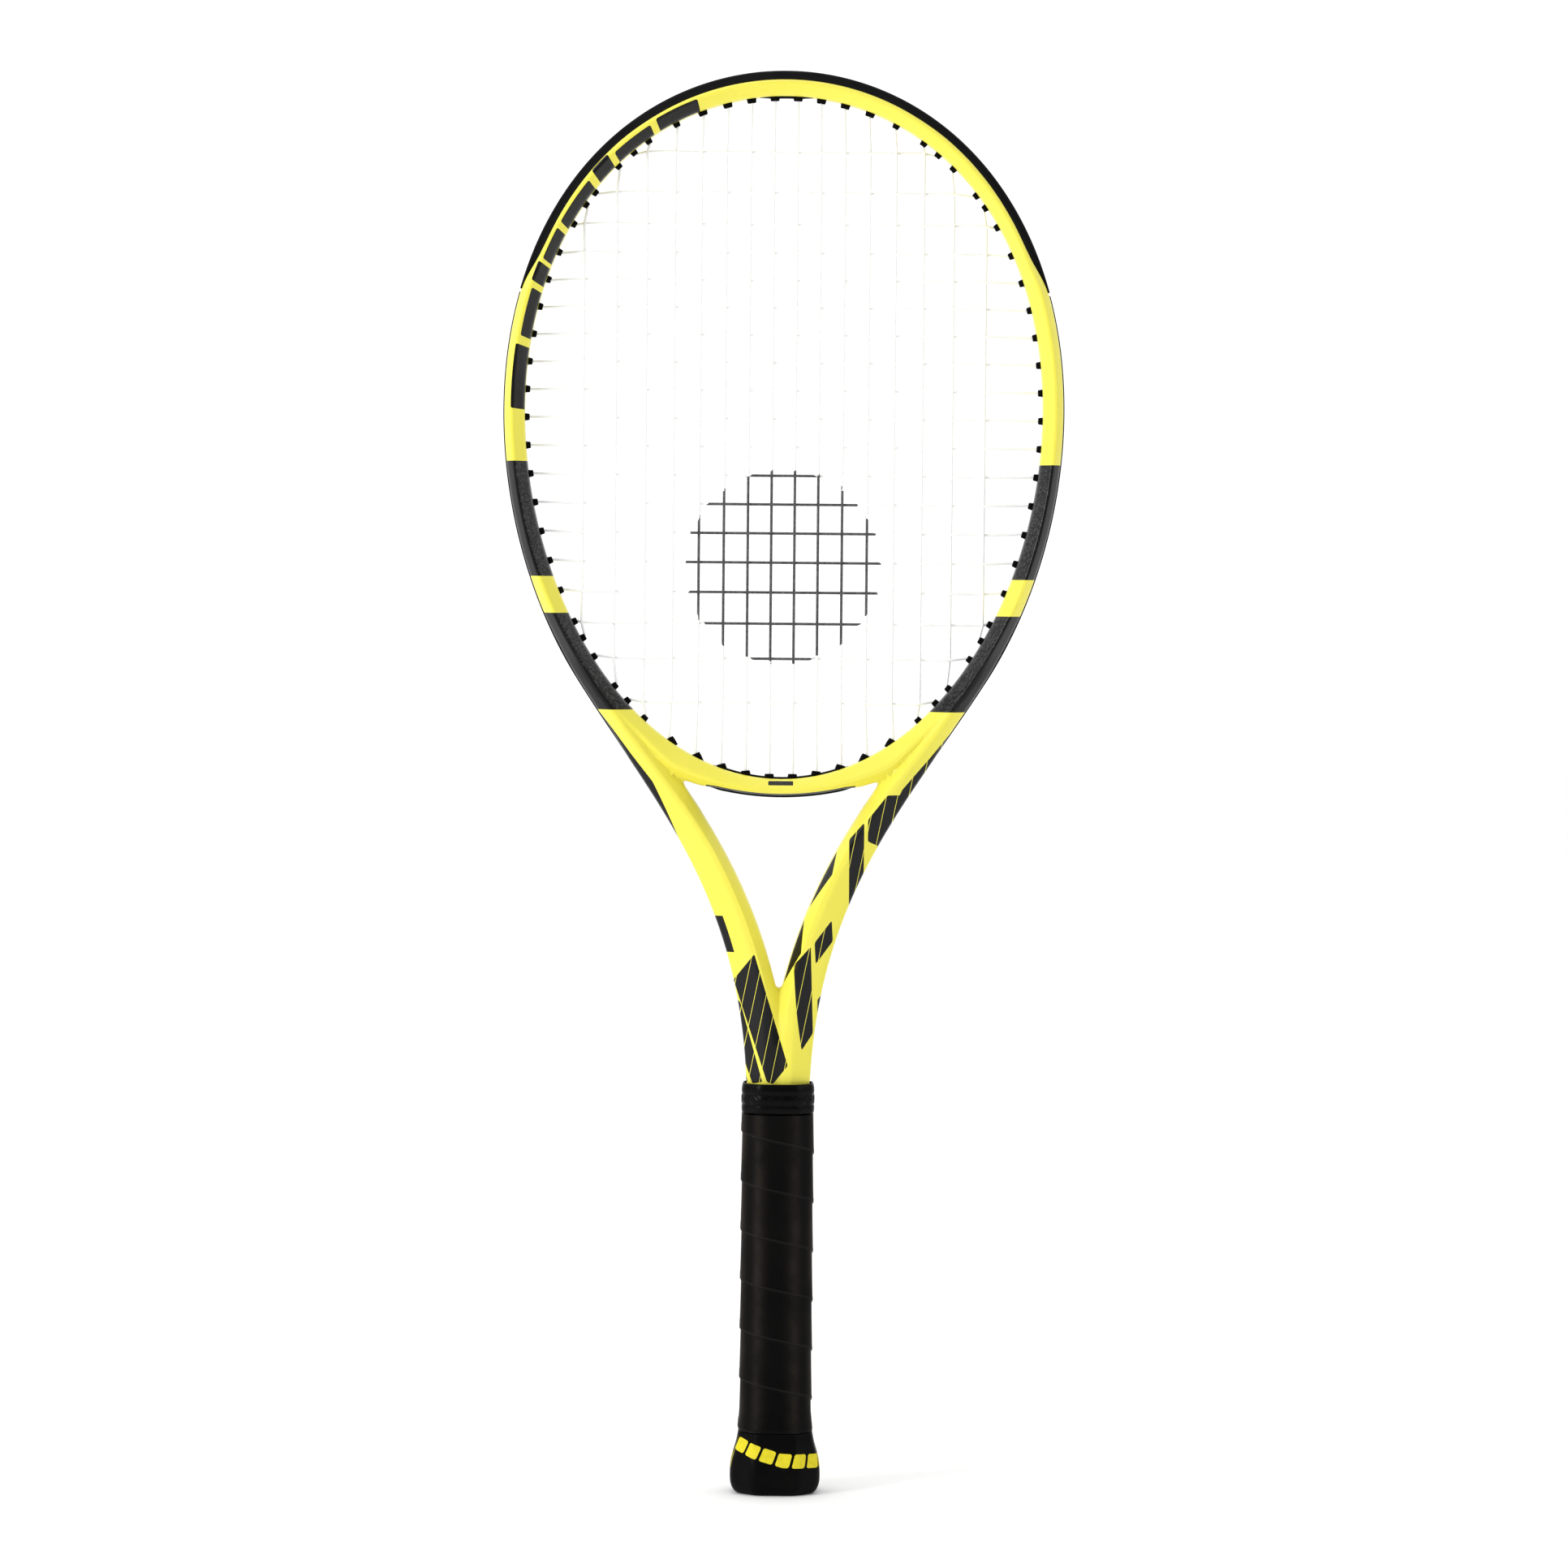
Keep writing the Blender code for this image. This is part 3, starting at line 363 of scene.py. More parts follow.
class Mesher:
    """Gathers the vertices and faces of one object."""

    def __init__(self, vertices=(), faces=()):
        self.vertices = list(vertices)
        self.faces = list(faces)

    def add_loft(self, rings, closed=False):
        """Rings of equal length, each joined to the next by quads, with flat ends unless closed."""
        rings = np.asarray(rings, float)
        count, around = rings.shape[:2]
        base = len(self.vertices)
        self.vertices.extend(rings.reshape(-1, 3).tolist())
        for ring in range(count if closed else count - 1):
            near = base + ring * around
            far = base + (ring + 1) % count * around
            for index in range(around):
                after = (index + 1) % around
                self.faces.append((near + index, near + after, far + after, far + index))
        if not closed:
            last = base + (count - 1) * around
            self.faces.append(tuple(base + index for index in reversed(range(around))))
            self.faces.append(tuple(last + index for index in range(around)))

    def make(self, name, nodes, slot, material, sharp=48.0, body="racket", **attributes):
        """The object, riding on a body in place of CAD nodes, with a value per vertex by name."""
        mesh = bpy.data.meshes.new(name)
        mesh.from_pydata((np.asarray(self.vertices, float) * MM).tolist(), [], self.faces)
        mesh.materials.append(material)
        mesh.polygons.foreach_set("use_smooth", [True] * len(mesh.polygons))
        mesh.set_sharp_from_angle(angle=math.radians(sharp))
        for key, values in attributes.items():
            attribute = mesh.attributes.new(key, "FLOAT", "POINT")
            attribute.data.foreach_set("value", np.asarray(values, np.float32))
        piece = add_object(name, mesh)
        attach(piece, body)
        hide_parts(*nodes)


def sweep(path, radius, sides):
    """Rings of a round tube along a path of points."""
    path = np.asarray(path, float)
    run = unit(np.gradient(path, axis=0))
    across = unit(np.cross(run, (0.0, 1.0, 0.0)))
    up = np.cross(across, run)
    turns = np.linspace(0.0, 2 * math.pi, sides, endpoint=False)[:, None]
    return path[:, None] + radius * (np.cos(turns) * across[:, None] + np.sin(turns) * up[:, None])


# ---------------- frame

def seam(low, high, count=7):
    """Points up the middle plane between two edges, without the edges themselves."""
    return np.array([(0.0, z) for z in np.linspace(low, high, count)[1:-1]])


def squared_normals(line):
    """Normals off a line into the frame, square to the middle plane at both of its ends."""
    normals = -rightward(line)
    normals[0] = (0.0, 1.0)
    normals[-1] = (0.0, -1.0)
    return normals


def stretch(line, normals=0.0, groove=0.0):
    """Rows of (x, z, normal x, normal z, groove depth); a line across the frame has no normals."""
    return np.column_stack([line, np.broadcast_to(normals, line.shape),
                            np.broadcast_to(groove, len(line))])


def half_boundary():
    """Closed loop round the right half of the frame, with its inward normals and groove depths."""
    wall_groove = (GROOVE_DEPTH - 0.1) * smooth(OUTLINE[:, 1], 328.0, 346.0)
    on_bridge = (THROAT[:, 1] > 330.0) & (THROAT[:, 0] < 44.0)
    groove = np.where(on_bridge, BRIDGE_GROOVE_DEPTH * smooth(THROAT[:, 0], 42.0, 36.0), 0.0)
    foot = np.array([(x, LEG_BOTTOM) for x in np.arange(11.0, 0.5, -1.5)])
    between_legs = np.array([(0.0, z) for z in np.arange(LEG_BOTTOM, VALLEY_Z - 1.0, STEP)])
    rows = np.vstack([stretch(WALL, INWARD, wall_groove), stretch(foot), stretch(between_legs),
                      stretch(THROAT, squared_normals(THROAT), groove)[::-1],
                      stretch(seam(THROAT[0][1], RIM[-1][1])),
                      stretch(RIM, squared_normals(RIM))[::-1], stretch(seam(RIM[0][1], WALL[0][1]))])
    rows[np.abs(rows[:, 0]) < 1e-6, 0] = 0.0
    return rows[:, :2], rows[:, 2:4], rows[:, 4]


def inner_points(boundary):
    """Rows of points inside the frame's plan: along its edges, its ridges and its facets."""
    edge_rows = EDGE_RADIUS * (1 - np.cos(np.radians([22.0, 45.0, 67.0, 90.0])))
    ridge_rows = (-2.9, -1.5, -1.0, -0.55, 0.0, 0.55, 1.0, 1.5, 2.9)
    found = []
    for line, inward in ((WALL, INWARD), (RIM, -rightward(RIM)), (THROAT, -rightward(THROAT))):
        found += [line + inward * row for row in edge_rows]
    width = np.linalg.norm(RING_OUTER - RIM, axis=1, keepdims=True)
    across = (RIM - RING_OUTER) / width
    found += [RING_OUTER + across * (HOOP_CREST * width + row) for row in ridge_rows]
    shaft = OUTLINE[:, 1] < 430.0
    width = np.linalg.norm(SHAFT_INNER - WALL, axis=1, keepdims=True)[shaft]
    across = (SHAFT_INNER - WALL)[shaft] / width
    crest = shaft_crest(OUTLINE[shaft, 1:])
    found += [WALL[shaft] + across * (crest * width + row) for row in ridge_rows]
    found += [WALL[shaft] + across * (share * width) for share in (0.16, 0.3, 0.44, 0.58)]
    grid_x, grid_z = np.meshgrid(np.arange(0.9, 112.0, 1.7), np.arange(LEG_BOTTOM + 1, 432.0, 1.5))
    grid_x[::2] += 0.85
    found.append(np.stack([grid_x.ravel(), grid_z.ravel()], -1))
    return keep_apart(boundary, found, len(edge_rows) * 3)


def keep_apart(boundary, rows, edge_count):
    """Drop points outside the plan and points too near those that were taken before them."""
    taken = boundary
    for index, row in enumerate(rows):
        if index < edge_count:
            close, spacing = 0.05, 0.1
        else:
            close, spacing = EDGE_RADIUS + 0.35, 0.95 if row is rows[-1] else 0.4
        in_throat = (row[:, 1] < 345.0) & (row[:, 1] > VALLEY_Z) & (nearest(row, THROAT)[0] > 0)
        keep = (np.minimum.reduce(edge_distances(row)) > close) & ~in_throat
        keep &= (row[:, 0] > 0.5 * spacing) & (row[:, 1] > LEG_BOTTOM + 0.5)
        row = row[keep]
        tree = KDTree(len(taken))
        for number, (x, z) in enumerate(taken):
            tree.insert((x, z, 0.0), number)
        tree.balance()
        apart = [tree.find((x, z, 0.0))[2] > spacing for x, z in row]
        taken = np.vstack([taken, row[np.array(apart, bool)]])
    return taken


def plan_triangles():
    """Points and triangles of the right half's plan, with each point's normal and groove depth."""
    boundary, normals, grooves = half_boundary()
    count = len(boundary)
    loop = [(index, (index + 1) % count) for index in range(count)]
    coords, _, faces, origins, _, _ = delaunay_2d_cdt(
        [Vector(point) for point in inner_points(boundary)], loop, [], 1, 1e-4)
    coords = np.array([tuple(point) for point in coords])
    normal = np.zeros_like(coords)
    groove = np.zeros(len(coords))
    for index, sources in enumerate(origins):
        if sources and sources[0] < count:
            normal[index] = normals[sources[0]]
            groove[index] = grooves[sources[0]]
    a, b, c = (coords[index] for index in faces[0][:3])
    if (b[0] - a[0]) * (c[1] - a[1]) > (b[1] - a[1]) * (c[0] - a[0]):
        faces = [face[::-1] for face in faces]
    return coords, [tuple(face) for face in faces], normal, groove


def boundary_edges(faces):
    """Directed edges that belong to one face only."""
    seen = {}
    for face in faces:
        for start, end in zip(face, face[1:] + face[:1]):
            if (end, start) in seen:
                del seen[(end, start)]
            else:
                seen[(start, end)] = True
    return list(seen)


def make_frame(material):
    """Both faces from the mirrored plan, joined round every edge by walls with their groove."""
    coords, faces, normal, groove = plan_triangles()
    count = len(coords)
    total = 2 * count
    mirror = np.where(np.abs(coords[:, 0]) < 1e-6, np.arange(count), np.arange(count) + count)
    plan = np.vstack([coords, coords * (-1, 1)])
    normal = np.vstack([normal, normal * (-1, 1)])
    front = faces + [tuple(int(mirror[index]) for index in reversed(face)) for face in faces]
    rise = heights(plan)
    vertices = [(x, side * y, z) for side in (-1, 1) for (x, z), y in zip(plan, rise)]
    all_faces = [face[::-1] for face in front]
    all_faces += [tuple(index + total for index in face) for face in front]
    sources = list(range(total)) * 2
    columns = {}

    def column(index):
        """Vertices from the front edge to the back edge at one boundary point."""
        if index not in columns:
            x, z = plan[index]
            lip = min(GROOVE_HALF_HEIGHT, 0.85 * rise[index])
            columns[index] = [index]
            for y, share in ((-lip, 0), (0.3 - lip, 1), (0.0, 1), (lip - 0.3, 1), (lip, 0)):
                depth = groove[index % count] * share
                columns[index].append(len(vertices))
                vertices.append((x + normal[index][0] * depth, y, z + normal[index][1] * depth))
                sources.append(index)
            columns[index].append(index + total)
        return columns[index]

    for start, end in boundary_edges(front):
        near, far = column(start), column(end)
        for row in range(len(near) - 1):
            all_faces.append((near[row], far[row], far[row + 1], near[row + 1]))
    used = sorted({index for face in all_faces for index in face})
    order = {old: new for new, old in enumerate(used)}
    mesher = Mesher([vertices[index] for index in used],
                    [tuple(order[index] for index in face) for face in all_faces])
    outer, rim, throat = (values[np.array(sources)[used]] for values in edge_distances(plan))
    mesher.make("racket_frame", ("frame_tube", "throat_bridge"), "frame_paint", material, 40.0,
                outline_mm=outer, rim_mm=rim, throat_mm=throat)


# ---------------- where the strings pass

def egg_place(egg, angle):
    x, z = egg_line(egg, angle)
    return float(x), float(z)


def mouth_before(rim, way_x, way_z):
    """A mouth just inside the string bed from a point on its rim, facing out of it."""
    length = math.hypot(way_x, way_z)
    way_x, way_z = way_x / length, way_z / length
    return Mouth(rim[0] - way_x * MOUTH_LEAD, rim[1] - way_z * MOUTH_LEAD, way_x, way_z)


def hoop_mouth(angle):
    (x, z), (far_x, far_z) = (egg_place(INNER_EGG, angle + turn) for turn in (-1e-4, 1e-4))
    return mouth_before(egg_place(INNER_EGG, angle), z - far_z, far_x - x)


def main_x(number):
    middle = number - 0.5
    return MAIN_SPACING * middle + MAIN_SPREAD * middle ** 3


def cross_z(row):
    spread = CROSS_END_SPREAD * (row / CROSSES_PER_SIDE) ** 9
    return CROSS_MIDDLE_Z + CROSS_SPACING * row + spread - CROSS_BOW * row * row


def angle_at(x, low, high):
    """Angle between two others where the inner egg's half-width is x; it grows from low to high."""
    for _ in range(40):
        middle = 0.5 * (low + high)
        if egg_place(INNER_EGG, middle)[0] < x:
            low = middle
        else:
            high = middle
    return middle


def main_bottom_mouth(number):
    x = main_x(number)
    angle = angle_at(x, math.pi, math.radians(95))
    if x > BRIDGE_MAIN_REACH:
        return hoop_mouth(angle)
    rim = egg_place(INNER_EGG, angle)
    exit_x = x * (1 - BRIDGE_FAN * x)
    return mouth_before(rim, exit_x - rim[0], bridge_low_z(exit_x) - rim[1])


def cross_mouth(row):
    return hoop_mouth(math.acos((cross_z(row) - INNER_EGG.centre_z) / INNER_EGG.half_height))


NUMBERS = range(1, MAINS_PER_SIDE + 1)
ROWS = range(-CROSSES_PER_SIDE, CROSSES_PER_SIDE + 1)
MAIN_TOPS = {n: hoop_mouth(angle_at(main_x(n), 0.0, math.radians(80))) for n in NUMBERS}
MAIN_BOTTOMS = {n: main_bottom_mouth(n) for n in NUMBERS}
CROSS_ENDS = {row: cross_mouth(row) for row in ROWS}
BRIDGE_NUMBERS = [n for n in NUMBERS if main_x(n) <= BRIDGE_MAIN_REACH]
SHOULDER_NUMBERS = [n for n in NUMBERS if main_x(n) > BRIDGE_MAIN_REACH]
BARREL_HALF = 1.75
WIDE_BARREL_HALF = 2.3
BRIDGE_BARREL_HALF = 2.35


def mirrored(mouth, side):
    return Mouth(mouth.x * side, mouth.z, mouth.dir_x * side, mouth.dir_z)


def side_mouths(guarded):
    """Mouths on the hoop's right under the guard or not: each with its offset and barrel width."""
    found = [(MAIN_TOPS[n], -MAIN_OFFSET, WIDE_BARREL_HALF if n < 5 else BARREL_HALF)
             for n in NUMBERS]
    found += [(MAIN_BOTTOMS[n], -MAIN_OFFSET, BARREL_HALF) for n in SHOULDER_NUMBERS]
    found += [(CROSS_ENDS[row], MAIN_OFFSET, BARREL_HALF) for row in ROWS]
    return [entry for entry in found
            if (meet(OUTLINE, entry[0]).point[1] > GUARD_END_Z + 2.0) == guarded]


def meet(line, mouth):
    """The first place on a line that a mouth's axis crosses."""
    place, way = np.array(mouth[:2]), np.array(mouth[2:])
    reaches, shares = crossings(place[None], way[None], line)
    index = int(np.isfinite(reaches[0]).argmax())
    return Meeting(index + shares[0, index], tuple(place + way * reaches[0, index]))


def walk(line, start, end):
    """The line's own points between two places on it, in the order of travel."""
    between = [index for index in range(len(line)) if min(start, end) < index < max(start, end)]
    if end < start:
        between.reverse()
    return [tuple(line[index]) for index in between]


# ---------------- strings

def sign(number):
    return 1 if number > 0 else -1


def crossing(number, row):
    """Where a main meets a row, or None; a main on the left has a negative number."""
    x, z = main_x(abs(number)), cross_z(row)
    low, high, end = MAIN_BOTTOMS[abs(number)].z, MAIN_TOPS[abs(number)].z, CROSS_ENDS[row].x
    if not low < z < high or x >= end:
        return None
    place = number if number > 0 else number + 1
    behind = min(z - low, high - z, end - x) >= RIM_MARGIN and (place + row) % 2
    return sign(number) * x, WEAVE if behind else -WEAVE, z


def waved(run):
    """The same run with an even bend from each crossing to the next."""
    path = []
    for start, end in zip(run, run[1:]):
        start, end = np.array(start), np.array(end)
        for share in (0.0, 0.2, 0.4, 0.6, 0.8):
            point = blend(start, end, share)
            point[1] = blend(start[1], end[1], float(smooth(share, 0.0, 1.0)))
            path.append(tuple(point))
    return path + [tuple(run[-1])]


def main_run(number):
    """A main from its bottom mouth to its top one."""
    ends = [(sign(number) * mouth.x, -MAIN_OFFSET, mouth.z)
            for mouth in (MAIN_BOTTOMS[abs(number)], MAIN_TOPS[abs(number)])]
    met = [crossing(number, row) for row in ROWS if crossing(number, row)]
    return waved(ends[:1] + met + ends[1:])


def cross_run(row):
    """A cross from left to right, on the other side of each main."""
    met = [crossing(number, row) for number in ORDER if crossing(number, row)]
    ends = [(side * CROSS_ENDS[row].x, MAIN_OFFSET, CROSS_ENDS[row].z) for side in (-1, 1)]
    return waved(ends[:1] + [(x, -y, z) for x, y, z in met] + ends[1:])


def rounded(points):
    """Corner cutting, twice, that keeps both ends."""
    points = [np.array(point, float) for point in points]
    for _ in range(2):
        cut = [points[0]]
        for start, end in zip(points, points[1:]):
            cut += [blend(start, end, 0.25), blend(start, end, 0.75)]
        points = cut + [points[-1]]
    return [tuple(point) for point in points]


ORDER = [-n for n in reversed(NUMBERS)] + list(NUMBERS)
HOOP_STRING_LINE = OUTLINE + INWARD * (reveal(OUTLINE[:, 1]) + STRING_DEPTH)[:, None]
BRIDGE_STRING_LINE = bridge_low_line(np.linspace(-46.0, 46.0, 93)) + (0.0, STRING_DEPTH + 0.6)


def outside_loop(line, first, second, side, y):
    """String outside the frame from one mouth to another, without the mouths themselves."""
    out, back = meet(line, first), meet(line, second)
    points = [(first.x, first.z), out.point] + walk(line, out.place, back.place)
    points += [back.point, (second.x, second.z)]
    return rounded([(side * x, y, z) for x, z in points])[1:-1]


def main_loop(current, following, upward):
    """The string outside the frame from one main to the next."""
    mouths = MAIN_TOPS if upward else MAIN_BOTTOMS
    first, second = mouths[abs(current)], mouths[abs(following)]
    if upward or abs(current) in SHOULDER_NUMBERS:
        return outside_loop(HOOP_STRING_LINE, first, second, sign(current), -MAIN_OFFSET)
    first, second = mirrored(first, sign(current)), mirrored(second, sign(following))
    return outside_loop(BRIDGE_STRING_LINE, first, second, 1, -MAIN_OFFSET)


def tail(mouth, side, y, length):
    """A short end of string in the groove beyond a mouth, from its tip to the mouth."""
    out = meet(HOOP_STRING_LINE, mouth)
    along = walk(HOOP_STRING_LINE, out.place, out.place + length)
    points = along[::-1] + [out.point, (mouth.x, mouth.z)]
    return rounded([(side * x, y, z) for x, z in points])


def make_string(name, path, node, material):
    kept = [path[0]]
    for point in path[1:]:
        if math.dist(point, kept[-1]) > 0.15:
            kept.append(point)
    mesher = Mesher()
    mesher.add_loft(sweep(kept, STRING_RADIUS, 8))
    mesher.make(name, (node,), "string", material, 80.0)


def make_strings(material):
    last = MAIN_BOTTOMS[MAINS_PER_SIDE]
    path = tail(last, -1, -MAIN_OFFSET, 5.0)
    upward = True
    for current, following in zip(ORDER, ORDER[1:] + [None]):
        path += main_run(current)[::1 if upward else -1]
        if following:
            path += main_loop(current, following, upward)
        upward = not upward
    path += tail(last, 1, -MAIN_OFFSET, 5.0)[::-1]
    make_string("main_string_fine", path, "main_string", material)
    rows = ROWS[::-1]
    path = tail(CROSS_ENDS[rows[0]], -1, MAIN_OFFSET, -4.0)
    side = 1
    for row in rows:
        path += cross_run(row)[::side]
        if row != rows[-1]:
            path += outside_loop(HOOP_STRING_LINE, CROSS_ENDS[row], CROSS_ENDS[row - 1], side,
                                 MAIN_OFFSET)
            side = -side
    path += tail(CROSS_ENDS[rows[-1]], side, MAIN_OFFSET, 4.0)[::-1]
    make_string("cross_string_fine", path, "cross_string", material)


# ---------------- nylon guard, strips and barrels

def section_ring(place, inward, half):
    """A closed ring in a station's plane from its front half of (depth, forward) points."""
    ring = [(place[0] + inward[0] * d, -y, place[1] + inward[1] * d) for d, y in half]
    return ring + [(x, -y, z) for x, y, z in reversed(ring) if abs(y) > 1e-9]


def make_guard(material):
    """A channel section over the hoop's top: plate in the groove, crown, and lips on both faces."""
    keep = OUTLINE[:, 1] > GUARD_END_Z - 3.0
    places, normals = (np.vstack([line[keep][:0:-1] * (-1, 1), line[keep]])
                       for line in (OUTLINE, INWARD))
    z = places[:, 1]
    recess = reveal(z)
    wrap = recess + blend(0.25, 1.9, smooth(z, GUARD_END_Z - 2.0, GUARD_END_Z + 24.0))
    wrap += 0.25 * smooth(z, 655.0, 668.0)
    shoulder = blend(recess, wrap, 0.4)
    brim = blend(recess, wrap, 0.85)
    high = [heights(places + normals * depth[:, None])
            for depth in (recess + 0.02, shoulder, brim, wrap)]
    rings = []
    for place, normal, r, s, b, w, on_edge, on_shoulder, on_brim, on_wrap in zip(
            places, normals, recess, shoulder, brim, wrap, *high):
        floor = r + PLATE_OUTER
        half = [(floor, 0.0), (floor, 1.6), (floor - 0.6, 2.0), (0.5, 2.15), (0.12, 2.4), (0.0, 3.0),
                (0.0, on_edge - 1.0), (0.12 + 0.1 * r, on_edge + 0.2), (0.45 * r, on_edge + 1.1),
                (s, on_shoulder + 0.75), (b, on_brim + 0.5), (w, on_wrap + 0.28),
                (w + 0.05, on_wrap - 0.1), (r + 0.4, on_edge - 0.6), (r + 0.4, 3.9),
                (r + PLATE_INNER, 2.9), (r + PLATE_INNER, 0.0)]
        rings.append(section_ring(place, normal, half))
    mesher = Mesher()
    mesher.add_loft(rings)
    add_barrels(mesher, side_mouths(True), (1, -1))
    add_flange(mesher, RIM[:TOP_FLANGE_STATIONS], 0.9)
    mesher.make("bumper_guard_fine", ("bumper_guard",), "guard_nylon", material)


TOP_FLANGE_STATIONS = 9
STRIP_CROWN = 1.82
STRIP_HALF = [(0.0, 0.0), (0.0, 1.5), (-1.1, 1.72), (-1.65, 1.9), (-1.82, 2.3), (-1.76, 2.95),
              (-1.5, 3.35), (-1.0, 3.5), (0.0, 3.2), (0.9, 3.1), (0.9, 0.0)]


def make_side_strip(name, node, side, material):
    """A plate in the side groove, with two crowns that rise to the outline."""
    keep = (OUTLINE[:, 1] < GUARD_END_Z - 3.6) & (OUTLINE[:, 1] > 351.0)
    rings = []
    for place, inward in zip(OUTLINE[keep], INWARD[keep]):
        recess = float(reveal(place[1]))
        crown = (PLATE_OUTER + recess) / STRIP_CROWN
        half = [(recess + PLATE_OUTER + d * (1 if d > 0 else crown), y) for d, y in STRIP_HALF]
        half = [(max(d, 0.02 * recess / STRIP_REVEAL), y) for d, y in half]
        rings.append(section_ring(place, inward, half))
    rings = np.array(rings) * (side, 1, 1)
    mesher = Mesher()
    mesher.add_loft(rings if side > 0 else rings[:, ::-1])
    add_barrels(mesher, side_mouths(False), (side,))
    mesher.make(name, (node,), "guard_nylon", material)


def make_throat_strip(material):
    """A low plate in the bridge's groove, with the barrels of the middle mains."""
    line = bridge_low_line(np.linspace(-38.0, 38.0, 61))
    rings = []
    for place, up in zip(line, -rightward(line)):
        top = 0.05 + 0.75 * (1 - float(smooth(abs(place[0]), 38.5, 28.0)))
        half = [(2.3, 0.0), (2.3, 1.5), (top + 0.5, 1.75), (top, 2.1), (top, 3.4), (top + 0.1, 4.3),
                (top + 0.35, 4.75), (1.4, 4.7), (2.0, 3.0), (3.0, 2.8), (3.0, 0.0)]
        rings.append(section_ring(place, up, half)[::-1])
    mesher = Mesher()
    mesher.add_loft(rings)
    mouths = [(MAIN_BOTTOMS[n], -MAIN_OFFSET, BRIDGE_BARREL_HALF) for n in BRIDGE_NUMBERS]
    add_barrels(mesher, mouths, (1, -1))
    add_flange(mesher, RIM[(RIM[:, 1] < 400.0) & (RIM[:, 0] < 34.0)], 0.85)
    mesher.make("throat_strip_fine", ("grommet_strip_throat",), "guard_nylon", material)


def add_flange(mesher, half_line, height):
    """A thin plate on the rim round the middle, tapered at its ends."""
    line = half_line if half_line[0][0] > half_line[-1][0] else half_line[::-1]
    line = np.vstack([line[:-1], line[::-1] * (-1, 1)])
    outward = rightward(line)
    middle = len(line) // 2
    if outward[middle][1] * (line[middle][1] - INNER_EGG.centre_z) < 0:
        outward = -outward
    from_end = np.minimum(np.arange(len(line)), np.arange(len(line))[::-1])
    rings = []
    for place, out, share in zip(line, outward, np.clip(from_end / 4.0, 0.0, 1.0)):
        high = -height * share
        half = [(high, 0.0), (high, 2.0), (high + 0.25, 2.5), (0.5, 2.7), (0.5, 0.0)]
        rings.append(section_ring(place, out, half))
    mesher.add_loft(rings)


def barrel_rings(mouth, y, half, side):
    """A rounded-square barrel from inside the frame to its tip, then down into its round bore."""
    rim_x, rim_z = mouth.x + mouth.dir_x * MOUTH_LEAD, mouth.z + mouth.dir_z * MOUTH_LEAD
    turns = np.linspace(0.0, 2 * math.pi, 20, endpoint=False)
    round_pair = np.cos(turns), np.sin(turns)
    square_pair = [np.sign(value) * np.abs(value) ** 0.6 for value in round_pair]
    deep = 1.7 if half > 2 else 1.6
    levels = [(2.6, half + 0.05, deep), (-0.1, half + 0.05, deep), (-1.4, half - 0.1, deep - 0.1),
              (-1.95, half - 0.2, deep - 0.2), (-2.2, half - 0.45, deep - 0.45),
              (-2.2, 0.80, 0.80), (-0.6, 0.72, 0.72)]
    rings = []
    for reach, wide, high in levels:
        cos, sin = square_pair if wide != high else round_pair
        x = rim_x + mouth.dir_x * reach - mouth.dir_z * cos * wide
        z = rim_z + mouth.dir_z * reach + mouth.dir_x * cos * wide
        rings.append(np.stack([side * x, y + sin * high, z], -1))
    rings = np.array(rings)
    return rings[:, ::-1] if side > 0 else rings


def add_barrels(mesher, mouths, sides):
    for mouth, y, half in mouths:
        for side in sides:
            mesher.add_loft(barrel_rings(mouth, y, half, side))


# ---------------- handle

Octagon = namedtuple("Octagon", "base per_offset share")


def octagon_corners(offset):
    flat = GRIP_FLAT_HALF - CORNER_SHRINK * offset
    side = GRIP_SIDE_HALF - CORNER_SHRINK * offset
    wide, deep = GRIP_HALF_WIDTH - offset, GRIP_HALF_DEPTH - offset
    corners = [(-wide, -side), (-flat, -deep), (flat, -deep), (wide, -side)]
    return np.array(corners + [(-x, -y) for x, y in corners])


def closed_loop(loop):
    return np.vstack([loop, loop[:1]])


def octagon_columns(columns, rounding):
    """A rounded octagon: points at offset 0, their move per mm and their share of the way round."""
    shifts = range(-rounding, rounding + 1)
    shares = np.linspace(0.0, 1.0, 60, endpoint=False)[:, None]
    loops = []
    for offset in (0.0, 1.0):
        corners = closed_loop(octagon_corners(offset))
        loop = np.vstack([blend(start, end, shares) for start, end in zip(corners, corners[1:])])
        for _ in range(3):
            loop = sum(np.roll(loop, shift, axis=0) for shift in shifts) / len(shifts)
        loops.append(closed_loop(loop))
    lengths = np.r_[0.0, np.cumsum(np.linalg.norm(np.diff(loops[0], axis=0), axis=1))]
    places = np.linspace(0.0, lengths[-1], columns, endpoint=False)
    base, moved = (np.stack([np.interp(places, lengths, loop[:, axis]) for axis in (0, 1)], -1)
                   for loop in loops)
    return Octagon(base, moved - base, places / lengths[-1])


def corner_share(octagon):
    """1 at the octagon's corners and 0 on its flats."""
    run = np.roll(octagon.base, -1, axis=0) - np.roll(octagon.base, 1, axis=0)
    turn = np.unwrap(np.arctan2(run[:, 1], run[:, 0]))
    bend = np.abs(np.roll(turn, -2) - np.roll(turn, 2))
    bend = np.minimum(bend, 2 * math.pi - bend)
    return np.clip(bend / bend.max(), 0.0, 1.0)


def tube_rings(octagon, levels):
    """Rings of (height, offset); an offset may differ from column to column."""
    rings = []
    for z, offset in levels:
        offsets = np.broadcast_to(offset, octagon.share.shape)[:, None]
        flat = octagon.base + octagon.per_offset * offsets
        rings.append(np.column_stack([flat, np.full(len(flat), z)]))
    return rings


